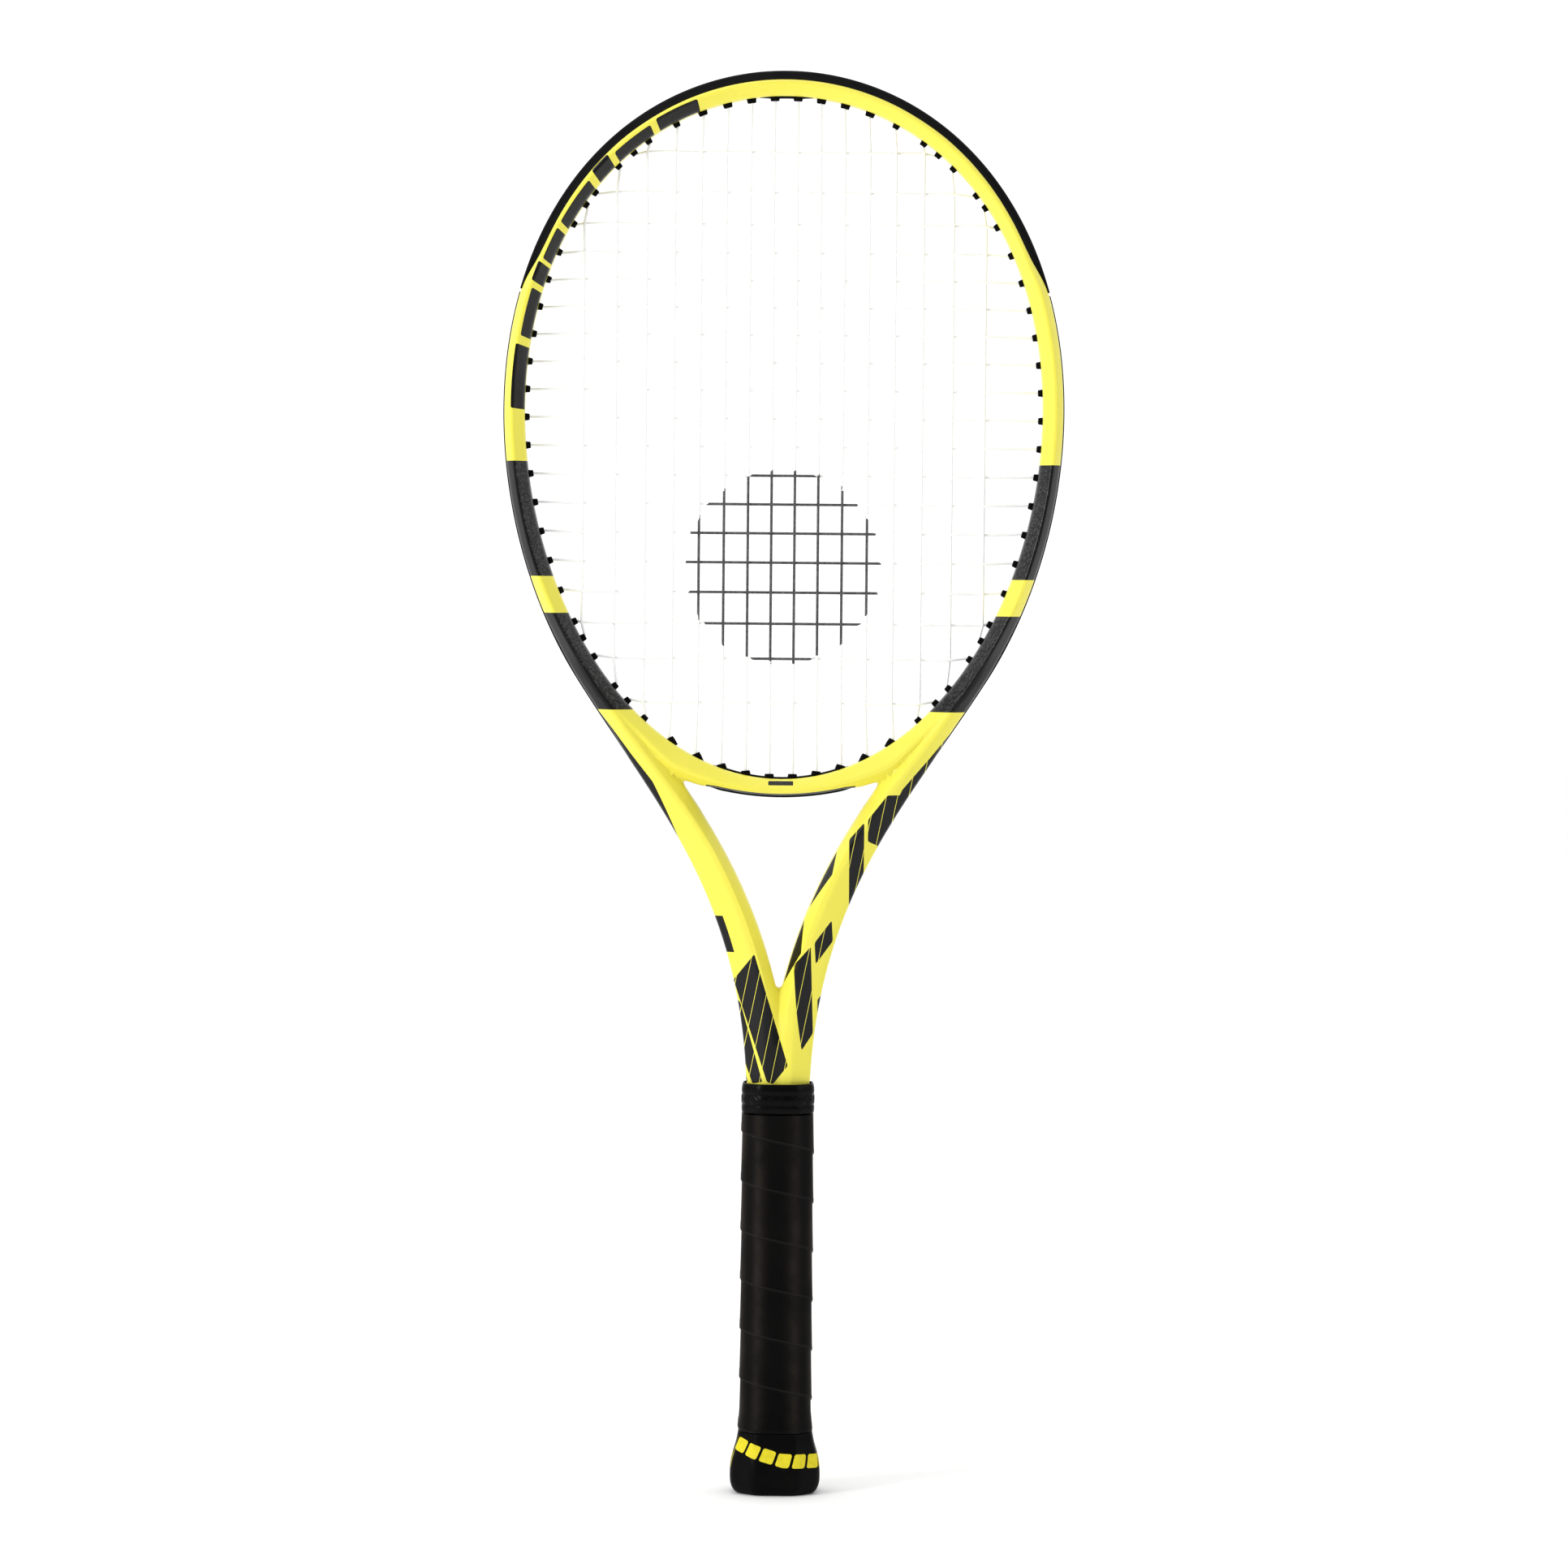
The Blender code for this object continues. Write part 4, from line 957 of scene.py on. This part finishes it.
def make_grip(material):
    """A band wound up the handle: each turn lies over the top edge of the turn below it."""
    octagon = octagon_columns(120, 7)
    levels = []
    for z in np.r_[GRIP_BOTTOM, np.arange(GRIP_BOTTOM + 0.25, GRIP_SHOULDER, 0.55), GRIP_SHOULDER]:
        phase = ((z - WRAP_START_Z) / WRAP_PITCH + octagon.share) % 1.0
        step = 0.5 * (1 - phase) ** 1.3 * smooth(phase, 0.0, 0.018)
        lip = 0.12 * np.exp(-((phase - 0.035) / 0.02) ** 2)
        flare = -0.8 * (1 - smooth(z, GRIP_BOTTOM - 2.0, 41.0))
        fade = smooth(z, GRIP_BOTTOM, GRIP_BOTTOM + 1.5)
        levels.append((z, flare + (0.05 - step - lip) * fade))
    levels += [(GRIP_SHOULDER + 0.4, 1.3), (GRIP_SHOULDER + 0.7, 1.7), (GRIP_TOP, 1.7),
               (GRIP_TOP, 2.7), (GRIP_SHOULDER, 2.7), (GRIP_SHOULDER - 1.0, 1.75), (35.0, 1.75),
               (GRIP_BOTTOM, 0.95)]
    mesher = Mesher()
    mesher.add_loft(tube_rings(octagon, levels), closed=True)
    mesher.make("grip_wrap", ("base_grip",), "grip_leather", material, 60.0,
                around=np.tile(octagon.share, len(levels)),
                corner=np.tile(corner_share(octagon), len(levels)))


CAP_PROFILE = [(29.7, 1.25), (29.75, -0.3), (29.4, -0.75), (27.0, -1.15), (24.0, -1.75), (21.0, -2.6),
               (18.0, -3.5), (15.0, -4.2), (12.0, -4.5), (9.0, -4.6), (6.0, -4.45), (4.0, -4.0),
               (2.4, -3.3), (1.2, -2.4), (0.4, -1.4), (0.0, -0.4)]


def dense_profile(profile, pieces):
    """The profile's points with a smooth curve between them."""
    points = np.array(profile[:1] + profile + profile[-1:], float)
    found = []
    for before, start, end, after in zip(points, points[1:], points[2:], points[3:]):
        leave, arrive = 0.5 * (end - before), 0.5 * (after - start)
        for s in np.arange(pieces) / pieces:
            found.append((2 * s ** 3 - 3 * s ** 2 + 1) * start + (s ** 3 - 2 * s ** 2 + s) * leave
                         + (3 * s ** 2 - 2 * s ** 3) * end + (s ** 3 - s ** 2) * arrive)
    return [tuple(point) for point in found + [points[-1]]]


def make_cap(material):
    """A flared skirt whose lower end turns in to a round recess."""
    octagon = octagon_columns(144, 6)
    rings = tube_rings(octagon, [(40.0, 3.0), (40.0, 2.0), (35.0, 2.0)] + CAP_PROFILE[:2])
    rings += tube_rings(octagon, dense_profile(CAP_PROFILE[2:], 3))
    edge = rings[-1][:, :2]
    turns = np.arctan2(edge[:, 1], edge[:, 0])
    circle = np.stack([np.cos(turns), np.sin(turns)], -1)
    flats = [(blend(edge, circle * 11.4, share), 0.0) for share in (0.35, 0.7, 1.0)]
    flats += [(circle * radius, z) for radius, z in ((11.1, 0.25), (11.0, 1.7), (0.6, 1.7))]
    rings += [np.column_stack([flat, np.full(len(flat), z)]) for flat, z in flats]
    mesher = Mesher()
    mesher.add_loft(rings)
    mesher.make("butt_cap_fine", ("butt_cap",), "cap_plastic", material, 50.0,
                around=np.tile(octagon.share, len(rings)))


def make_badge(material):
    """A round insert with two raised rims and a ring of small studs."""
    turns = np.linspace(0.0, 2 * math.pi, 96, endpoint=False)
    profile = [(0.5, 1.2), (10.3, 1.2), (BADGE_RADIUS, 0.9), (BADGE_RADIUS, 0.35), (10.4, 0.12),
               (9.6, 0.12), (9.4, 0.3), (8.9, 0.3), (8.7, 0.15), (7.9, 0.15), (7.7, 0.4), (5.0, 0.42),
               (4.8, 0.2), (4.2, 0.2), (4.0, 0.4), (0.5, 0.45)]
    rings = []
    for radius, z in profile:
        stud = 0.12 * (np.cos(turns * 24) > 0.2) if 4.9 < radius < 7.8 else 0.0
        rings.append(np.column_stack([radius * np.cos(turns), radius * np.sin(turns),
                                      np.broadcast_to(z - stud, turns.shape)]))
    mesher = Mesher()
    mesher.add_loft(rings)
    mesher.make("butt_badge_fine", ("butt_badge",), "cap_plastic", material, 35.0)


COLLAR_PROFILE = [(184.5, 0.45), (184.6, -0.05), (185.1, -0.28), (186.6, -0.42), (187.9, -0.34),
                  (188.35, -0.12), (188.5, 0.02), (188.7, -0.06), (189.4, -0.22), (191.0, -0.30),
                  (192.6, -0.22), (193.2, -0.06), (193.4, 0.02), (193.6, -0.10), (194.3, -0.30),
                  (195.6, -0.36), (197.2, -0.16), (198.2, 0.10), (198.6, 0.34), (198.7, 0.6)]
LOZENGES = 22
LOZENGE_Z = 190.9
LOZENGE_HALF_HEIGHT = 1.9


def make_collar(material):
    """A rubber sleeve with two plain bands and a middle band of raised lozenges."""
    octagon = octagon_columns(320, 9)
    levels = []
    for z, offset in dense_profile(COLLAR_PROFILE, 5):
        tall = 1.0 - abs(z - LOZENGE_Z) / LOZENGE_HALF_HEIGHT
        lozenge = tall - np.abs((octagon.share * LOZENGES) % 1.0 - 0.5) * 2.0 + 0.25
        levels.append((z, offset - 0.24 * smooth(lozenge, 0.0, 0.22) * (tall > 0)))
    levels += [(COLLAR_TOP, 0.85), (COLLAR_BOTTOM, 0.85)]
    mesher = Mesher()
    mesher.add_loft(tube_rings(octagon, levels), closed=True)
    mesher.make("collar_rubber_fine", ("rubber_collar",), "collar_rubber", material, 60.0, "collar")


# ---------------- materials

class Wire:
    """A node's output to reckon with: | is the greater of two, & the lesser; masks are 0 or 1."""

    def __init__(self, nodes, socket):
        self.nodes = nodes
        self.socket = socket

    def __abs__(self):
        return self.nodes.math("ABSOLUTE", self)

    def __rsub__(self, other):
        return self.nodes.math("SUBTRACT", other, self)

    def within(self, low, high):
        return self.nodes.math("COMPARE", self, 0.5 * (low + high), 0.5 * (high - low))

    def ranged(self, low, high, out_low=0.0, out_high=1.0):
        return self.nodes.wire("MapRange", (self, low, high, out_low, out_high))


def math_step(operation):
    return lambda wire, other: wire.nodes.math(operation, wire, other)


for sign_name, step_name in (("add", "ADD"), ("sub", "SUBTRACT"), ("mul", "MULTIPLY"),
                             ("truediv", "DIVIDE"), ("lt", "LESS_THAN"), ("gt", "GREATER_THAN"),
                             ("and", "MINIMUM"), ("or", "MAXIMUM")):
    setattr(Wire, f"__{sign_name}__", math_step(step_name))


class Nodes:
    """A node tree being built."""

    def __init__(self, tree):
        self.tree = tree

    def feed(self, socket, value):
        if isinstance(value, Wire):
            self.tree.links.new(value.socket, socket)
        else:
            socket.default_value = value

    def node(self, kind, inputs=(), **settings):
        """A node with its settings made first, then its inputs, in a row or by their names."""
        made = self.tree.nodes.new("ShaderNode" + kind)
        for name, value in settings.items():
            setattr(made, name, value)
        for key, value in inputs.items() if isinstance(inputs, dict) else enumerate(inputs):
            self.feed(made.inputs[key], value)
        return made

    def wire(self, kind, inputs=(), output=0, **settings):
        return Wire(self, self.node(kind, inputs, **settings).outputs[output])

    def math(self, operation, *values):
        return self.wire("Math", values, operation=operation)


class Finish(Nodes):
    """A material being built, with short ways to its textures."""

    def __init__(self, name, specular, coat=0.0, coat_roughness=0.1):
        self.material = bpy.data.materials.new(name)
        self.material.use_nodes = True
        super().__init__(self.material.node_tree)
        self.shader = self.tree.nodes["Principled BSDF"]
        self.shader.inputs["Specular IOR Level"].default_value = specular
        self.shader.inputs["Coat Weight"].default_value = coat
        self.shader.inputs["Coat Roughness"].default_value = coat_roughness
        self.place = self.wire("TexCoord", output="Object")

    def millimetres(self):
        scaled = self.wire("VectorMath", {0: self.place, "Scale": 1 / MM}, operation="SCALE")
        return [Wire(self, socket) for socket in self.node("SeparateXYZ", [scaled]).outputs]

    def attribute(self, name):
        return self.wire("Attribute", output="Fac", attribute_name=name)

    def noise(self, scale, detail=3.0, rough=0.5, stretch=None):
        place = self.place
        if stretch:
            place = self.wire("Mapping", {"Vector": place, "Scale": stretch})
        inputs = {"Vector": place, "Scale": scale, "Detail": detail, "Roughness": rough}
        return self.wire("TexNoise", inputs, output="Fac")

    def cloud(self, scale, detail=3.0, out_low=0.0, out_high=1.0, rough=0.5, low=0.3, high=0.7):
        """Noise whose levels from low to high are spread over another range."""
        return self.noise(scale, detail, rough).ranged(low, high, out_low, out_high)

    def cells(self, scale):
        return self.wire("TexVoronoi", {"Vector": self.place, "Scale": scale}, output="Distance")

    def mix(self, share, first, second):
        first, second = ((*value, 1.0) if isinstance(value, tuple) else value
                         for value in (first, second))
        return self.wire("Mix", {0: share, 6: first, 7: second}, output=2, data_type="RGBA")

    def finished(self, colour, roughness, *bumps):
        """The material; each bump is (height from 0 to 1, depth in mm), on those before it."""
        normal = {}
        for height, depth in bumps:
            inputs = {"Distance": depth * MM, "Height": height, **normal}
            normal = {"Normal": self.wire("Bump", inputs)}
        for name, value in {"Base Color": colour, "Roughness": roughness, **normal}.items():
            self.feed(self.shader.inputs[name], value)
        return self.material


YELLOW = (0.88, 0.81, 0.100)
YELLOW_DEEP = (0.84, 0.74, 0.070)
BLACK_PAINT = (0.0060, 0.0060, 0.0062)
CARBON_FLECK = (0.040, 0.040, 0.042)

# Heights of the black bands; the groove's lip and the faces are distances from the middle plane.
HOOP_BAND = (442.4, 497.6)
SHOULDER_BAND = (378.5, 424.8)
BARS_LOW_Z = 450.0
GROOVE_LIP_Y = 3.4
FACE_Y = 4.7
FLECK_REACH = 5.6

# Pointed patches: (low z, high z, widest z, width).
LEFT_WEDGE = (316.0, 378.5, 344.0, 3.6)
RIGHT_WEDGE = (312.0, 369.0, 341.0, 4.6)
SIDE_WEDGE = (314.0, 374.0, 344.0, 30.0)
THROAT_WEDGES = [(282.0, 312.0, 300.0, 3.4), (246.0, 279.0, 262.0, 4.2)]
LEFT_TAB = (262.0, 279.5)
LEFT_TAB_WIDTH = 3.6
PINSTRIPE_SLANT = -0.20
PINSTRIPE_SPACING = 2.7
PINSTRIPE_HALF = 0.13

# Bars on the inner facet of the hoop's upper left: (start angle, end angle, low depth, high depth).
HOOP_BARS = [(14.8, 22.4, -1.0, 5.6), (23.6, 31.2, -1.0, 4.6),
             (32.4, 36.2, -1.0, 6.6), (37.6, 46.4, -1.0, 4.6), (47.6, 53.8, -1.0, 4.6),
             (54.6, 58.4, -1.0, 6.2), (59.6, 69.2, -1.0, 4.8), (71.0, 84.2, -1.0, 6.4)]
HOOP_BAR_CORNER = 0.9
HOOP_MM_PER_DEGREE = 2.35

# Slanted blocks on the throat, each the corners of a convex shape in the front view.
THROAT_BLOCKS = [[(33.2, 316.8), (40.4, 325.2), (40.4, 300.0), (33.4, 282.5)],
                 [(42.2, 326.6), (51.5, 338.4), (59.0, 338.4), (47.6, 313.5), (42.2, 316.0)],
                 [(7.0, 256.0), (15.2, 265.2), (16.6, 223.0), (11.2, 214.8), (8.6, 232.0)],
                 [(17.0, 267.0), (25.2, 277.8), (25.8, 267.6), (17.6, 256.6)],
                 [(18.6, 239.4), (22.2, 243.4), (20.2, 231.0), (18.8, 228.4)],
                 [(-22.0, 248.6), (-12.0, 261.4), (4.6, 207.6), (-2.4, 198.6), (-5.4, 199.6)],
                 [(-22.4, 240.6), (-18.6, 238.0), (-7.6, 199.6), (-12.4, 198.6), (-22.4, 226.0)],
                 [(-22.4, 222.0), (-20.6, 222.0), (-14.6, 199.2), (-22.4, 199.2)]]
THROAT_BLOCK_CORNER = 1.2
BRIDGE_BAR = [(-6.0, 342.6), (-6.0, 344.6), (6.0, 344.6), (6.0, 342.6)]
BRIDGE_BAR_CORNER = 0.6


def any_of(masks):
    return reduce(lambda first, second: first | second, masks)


def convex_patch(x, z, corners, rounding):
    """Inside of a convex shape whose corners are rounded."""
    middle = np.mean(corners, axis=0)
    total = None
    for start, end in zip(corners, corners[1:] + corners[:1]):
        normal = unit(np.array([end[1] - start[1], start[0] - end[0]]))
        if np.dot(normal, middle - start) > 0:
            normal = -normal
        side = x * float(normal[0]) + z * float(normal[1]) - float(np.dot(normal, start))
        total = side if total is None else x.nodes.math("SMOOTH_MAX", total, side, rounding)
    return total < 0.0


def rounded_box(across, up, half_width, half_height, corner):
    """Inside of a box with round corners, from the distances off its middle."""
    across = abs(across) - (half_width - corner) | 0.0
    up = abs(up) - (half_height - corner) | 0.0
    return across * across + up * up < corner * corner


def hoop_bar(angle, depth, bar):
    start, end, low, high = bar
    along = (angle - 0.5 * (start + end)) * HOOP_MM_PER_DEGREE
    half_length = 0.5 * (end - start) * HOOP_MM_PER_DEGREE
    return rounded_box(along, depth - 0.5 * (low + high), half_length, 0.5 * (high - low),
                       HOOP_BAR_CORNER)


def wedge(distance, z, low, high, widest_z, width):
    """A pointed patch beside an edge, widest at one height."""
    up = z.ranged(low, widest_z, 0.0, width)
    down = z.ranged(widest_z, high, width, 0.0)
    return distance < (up & down) - 0.05


def shaft_marks(x, from_middle, z, outline, throat):
    """Black shapes on the shafts and the bridge, on their faces and round their sides."""
    facing = from_middle > FACE_Y
    left = x < 0.0
    right = 1.0 - left
    pinstripe = x.nodes.math("PINGPONG", z * PINSTRIPE_SLANT + x + 400.0, PINSTRIPE_SPACING)
    solid = pinstripe > PINSTRIPE_HALF
    blocks = any_of(convex_patch(x, z, block, THROAT_BLOCK_CORNER) for block in THROAT_BLOCKS)
    mark = convex_patch(x, z, BRIDGE_BAR, BRIDGE_BAR_CORNER)
    outer = left * wedge(outline, z, *LEFT_WEDGE) | right * wedge(outline, z, *RIGHT_WEDGE) * solid
    inner = right * any_of(wedge(throat, z, *patch) for patch in THROAT_WEDGES)
    tab = left * z.within(*LEFT_TAB) * (outline < LEFT_TAB_WIDTH)
    faces = (blocks * solid | mark | outer | inner | tab) * facing
    sides = wedge(from_middle, z, *SIDE_WEDGE) * (outline < 2.0) * (1.0 - facing)
    under_bridge = (throat < 0.95) * (z > 334.0) * (abs(x) < 36.0)
    return faces | sides | under_bridge


def paint_finish():
    """Yellow with black bands and marks; the back repeats the front as seen from behind."""
    finish = Finish("frame_gloss_paint", specular=0.16, coat=0.12, coat_roughness=0.10)
    x, y, z = finish.millimetres()
    x = x * ((y > 0.0) * -2.0 + 1.0)
    outline, rim, throat = map(finish.attribute, ("outline_mm", "rim_mm", "throat_mm"))
    bands = z.within(*HOOP_BAND) | z.within(*SHOULDER_BAND)
    angle = finish.math("DEGREES", finish.math("ARCTAN2", x * -1.0, z - INNER_EGG.centre_z))
    bars = any_of(hoop_bar(angle, rim, bar) for bar in HOOP_BARS)
    bars = bars * (z > BARS_LOW_Z) * (abs(y) > GROOVE_LIP_Y)
    black = bands | bars | shaft_marks(x, abs(y), z, outline, throat)
    fleck = (finish.noise(1250.0, 2.0, 0.7) > 0.60) | (finish.cells(950.0) > 0.62)
    dark = finish.mix(fleck * (rim < FLECK_REACH) * bands, BLACK_PAINT, CARBON_FLECK)
    yellow = finish.mix(0.72, finish.mix(finish.cloud(22.0), YELLOW, YELLOW_DEEP), YELLOW)
    smear = finish.cloud(48.0, 5.0, 0.26, 0.38, rough=0.65, high=0.75)
    scuff = finish.noise(150.0, 6.0, 0.75, (1.0, 1.0, 7.0)) > 0.72
    return finish.finished(finish.mix(black, yellow, dark), scuff * 0.12 + smear,
                           (finish.noise(260.0, 2.0), 0.012), (finish.noise(1500.0, 1.0), 0.003))


def nylon_finish():
    finish = Finish("guard_nylon_black", specular=0.025)
    plain = finish.mix(finish.cloud(40.0, 4.0), (0.0022, 0.0022, 0.0023), (0.0046, 0.0046, 0.0047))
    scratch = finish.noise(210.0, 5.0, 0.8, (1.0, 6.0, 1.0)) > 0.70
    colour = finish.mix(scratch * 0.5, plain, (0.030, 0.030, 0.030))
    return finish.finished(colour, finish.cloud(90.0, 4.0, 0.36, 0.55),
                           (finish.noise(900.0), 0.02), (finish.noise(160.0), 0.02))


DISC_Z = 448.0
DISC_RADIUS = 47.0


def string_finish():
    """White nylon with a worn black stencil disc where the ball meets the strings."""
    finish = Finish("string_white", specular=0.25, coat=0.04, coat_roughness=0.2)
    x, _, z = finish.millimetres()
    up = z - DISC_Z
    ragged = finish.cloud(300.0, 3.0, -1.3, 1.3, rough=0.6)
    ink = finish.math("SQRT", x * x + up * up) + ragged < DISC_RADIUS
    thin = finish.cloud(700.0, 4.0, 0.86, 1.0, rough=0.7, low=0.25, high=0.75)
    white = finish.mix(finish.cloud(120.0), (0.975, 0.975, 0.97), (0.94, 0.94, 0.93))
    colour = finish.mix(ink * thin, white, (0.008, 0.008, 0.009))
    return finish.finished(colour, finish.cloud(500.0, 3.0, 0.28, 0.42),
                           (finish.noise(1800.0, 2.0, 0.5, (1.0, 1.0, 0.2)), 0.02))


def leather_finish():
    """Dark wrap; wear and painted highlight at the corners, painted highlight and shade at each seam.
    """
    finish = Finish("grip_wrap_black", specular=0.06)
    _, _, z = finish.millimetres()
    phase = finish.math("FRACT", (z - WRAP_START_Z) / WRAP_PITCH + finish.attribute("around"))
    # seam marks the raised lip of each turn, which gets a painted highlight below.
    seam = abs(phase - 0.03) < 0.022
    # groove marks the crease at the foot of each turn's raised edge, which gets painted shade below.
    groove = phase > 0.985
    patchy_wear_and_highlight = finish.cloud(45.0, 4.0, 0.25, 1.0, rough=0.6, low=0.35, high=0.65)
    base = finish.mix(finish.cloud(28.0, 4.0, low=0.35), (0.0008, 0.0007, 0.0007),
                      (0.0024, 0.0021, 0.0019))
    # Lighter brown at the handle's corners: partly rubbed wear, partly a painted highlight on the
    # facet edges.
    base = finish.mix(finish.attribute("corner") * patchy_wear_and_highlight, base, (0.0200, 0.0165, 0.0135))
    # Painted highlight: a lighter line along each seam's lip.
    base = finish.mix(seam * 0.35, base, (0.016, 0.015, 0.014))
    # Painted shade: a darker line in the crease beside each seam.
    base = finish.mix(groove * 0.8, base, (0.0006, 0.0006, 0.0006))
    return finish.finished(base, finish.cloud(60.0, 5.0, 0.38, 0.56, rough=0.6),
                           (finish.cells(1100.0), 0.035), (finish.noise(240.0, 4.0), 0.06))


DASH_PITCH = 8.2
DASH_HALF_LENGTH = 3.4
DASH_HALF_HEIGHT = 3.3
DASH_CORNER = 1.1
DASH_SLANT = -0.35
HALF_GIRTH = 66.0


def cap_finish():
    """Moulded black skirt with a band of plain yellow slanted dashes on its front and its back."""
    finish = Finish("cap_moulded_black", specular=0.045)
    z = finish.millimetres()[2]
    face = finish.math("FRACT", finish.attribute("around") * 2.0)
    rise = z - (face.ranged(0.0, 0.42, 25.0, 17.4) - face.ranged(0.42, 0.9, 0.0, 1.6))
    along = face * HALF_GIRTH + rise * DASH_SLANT
    step = (finish.math("FRACT", along / DASH_PITCH) - 0.5) * DASH_PITCH
    dash = rounded_box(step, rise, DASH_HALF_LENGTH, DASH_HALF_HEIGHT, DASH_CORNER) * (face < 0.93)
    worn = finish.cloud(420.0, 4.0, 0.75, 1.0, rough=0.7, low=0.2, high=0.8)
    black = finish.mix(finish.cloud(50.0), (0.0012, 0.0012, 0.0012), (0.0030, 0.0028, 0.0027))
    return finish.finished(finish.mix(dash * worn, black, (0.86, 0.74, 0.035)),
                           finish.cloud(80.0, 4.0, 0.34, 0.52),
                           (finish.noise(1200.0, 2.0), 0.015), (finish.noise(150.0), 0.03))


def rubber_finish():
    finish = Finish("collar_rubber_black", specular=0.07)
    colour = finish.mix(finish.cloud(70.0, 4.0), (0.0010, 0.0010, 0.0010), (0.0026, 0.0025, 0.0024))
    return finish.finished(colour, finish.cloud(120.0, 5.0, 0.24, 0.38, rough=0.6),
                           (finish.noise(800.0), 0.02))


def hidden_finish(name, first, second, scale, roughness, metallic=0.0, specular=0.4):
    """A plain cast, wound or drawn material for what the wrap covers."""
    finish = Finish(name, specular)
    finish.shader.inputs["Metallic"].default_value = metallic
    return finish.finished(finish.mix(finish.noise(scale, 4.0), first, second),
                           finish.cloud(scale * 2, 3.0, roughness - 0.08, roughness + 0.08),
                           (finish.noise(scale * 4), 0.04))


def dress_hidden_nodes():
    foam = hidden_finish("pallet_foam_tan", (0.56, 0.49, 0.35), (0.68, 0.61, 0.46), 380.0, 0.8)
    steel = hidden_finish("staple_steel_drawn", (0.52, 0.52, 0.53), (0.70, 0.70, 0.71), 900.0, 0.3,
                          metallic=1.0)
    tape = hidden_finish("tape_vinyl_black", (0.003, 0.003, 0.003), (0.007, 0.007, 0.007), 300.0, 0.5,
                         specular=0.10)
    wanted = {"handle_pallet": foam, "cap_staple_front": steel, "cap_staple_back": steel,
              "finishing_tape": tape}
    for name, material in wanted.items():
        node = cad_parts[name]
        node.data.materials.clear()
        node.data.materials.append(material)


# ---------------- studio, in metres

CAMERA_DISTANCE = 2.9
CAMERA_HEIGHT = 0.45
SENSOR_WIDTH = 36.0
FRAME_SPAN = 0.7570
AIM = Vector((0.0016, 0.0, 0.3430))
ROLL = math.radians(0.50)
LIGHT_TARGET = Vector((0.0, 0.0, 0.35))
FLOOR_REACH = 12.0
WORLD_SLOPE = (-0.12, 0.50, 1.00)
WORLD_LEVEL = 0.44
BACKDROP_LEVEL = 1.15


def facing_from(place, target):
    return (target - place).to_track_quat("-Z", "Y")


def make_camera():
    data = bpy.data.cameras.new("view")
    camera = add_object("view", data)
    place = Vector((AIM.x, -CAMERA_DISTANCE, CAMERA_HEIGHT))
    data.sensor_width = SENSOR_WIDTH
    data.lens = SENSOR_WIDTH * (AIM - place).length / FRAME_SPAN
    look = facing_from(place, AIM).to_matrix().to_4x4()
    camera.matrix_world = Matrix.Translation(place) @ look @ Matrix.Rotation(ROLL, 4, "Z")
    bpy.context.scene.camera = camera


def make_floor():
    mesh = bpy.data.meshes.new("floor")
    corners = ((-1, -1), (1, -1), (1, 1), (-1, 1))
    mesh.from_pydata([(x * FLOOR_REACH, y * FLOOR_REACH, 0.0) for x, y in corners], [], [(0, 1, 2, 3)])
    finish = Finish("floor_pale", specular=0.1)
    colour = finish.mix(finish.noise(3.0, 2.0), (0.90, 0.90, 0.90), (0.92, 0.92, 0.92))
    mesh.materials.append(finish.finished(colour, 0.9))
    add_object("floor", mesh)


def make_light(name, place, size, power):
    data = bpy.data.lights.new(name, "AREA")
    data.shape = "SQUARE"
    data.size = size
    data.energy = power
    light = add_object(name, data)
    light.location = place
    light.rotation_euler = facing_from(Vector(place), LIGHT_TARGET).to_euler()


def make_world():
    """White where the camera looks; dimmer light from the front than from above and behind."""
    world = bpy.data.worlds.new("studio")
    bpy.context.scene.world = world
    world.use_nodes = True
    world.node_tree.nodes.clear()
    nodes = Nodes(world.node_tree)
    way = nodes.wire("TexCoord", output="Generated")
    slope = nodes.wire("VectorMath", (way, WORLD_SLOPE), "Value", operation="DOT_PRODUCT")
    studio, backdrop = (nodes.wire("Background", ((1.0, 1.0, 1.0, 1.0), strength))
                        for strength in (slope + WORLD_LEVEL, BACKDROP_LEVEL))
    seen = nodes.wire("LightPath", output="Is Camera Ray")
    nodes.node("OutputWorld", [nodes.wire("MixShader", (seen, studio, backdrop))])


def make_studio():
    make_camera()
    make_floor()
    make_world()
    make_light("key", (-1.9, -1.5, 1.1), 0.7, 28.0)
    make_light("fill", (2.2, -0.7, 0.9), 0.6, 5.0)
    bpy.context.scene.view_settings.view_transform = "Standard"


# ---------------- the whole racket

def main():
    nylon = nylon_finish()
    make_frame(paint_finish())
    make_guard(nylon)
    make_side_strip("strip_left_fine", "grommet_strip_left", -1, nylon)
    make_side_strip("strip_right_fine", "grommet_strip_right", 1, nylon)
    make_throat_strip(nylon)
    make_strings(string_finish())
    make_grip(leather_finish())
    cap = cap_finish()
    make_cap(cap)
    make_badge(cap)
    make_collar(rubber_finish())
    dress_hidden_nodes()
    make_studio()


main()
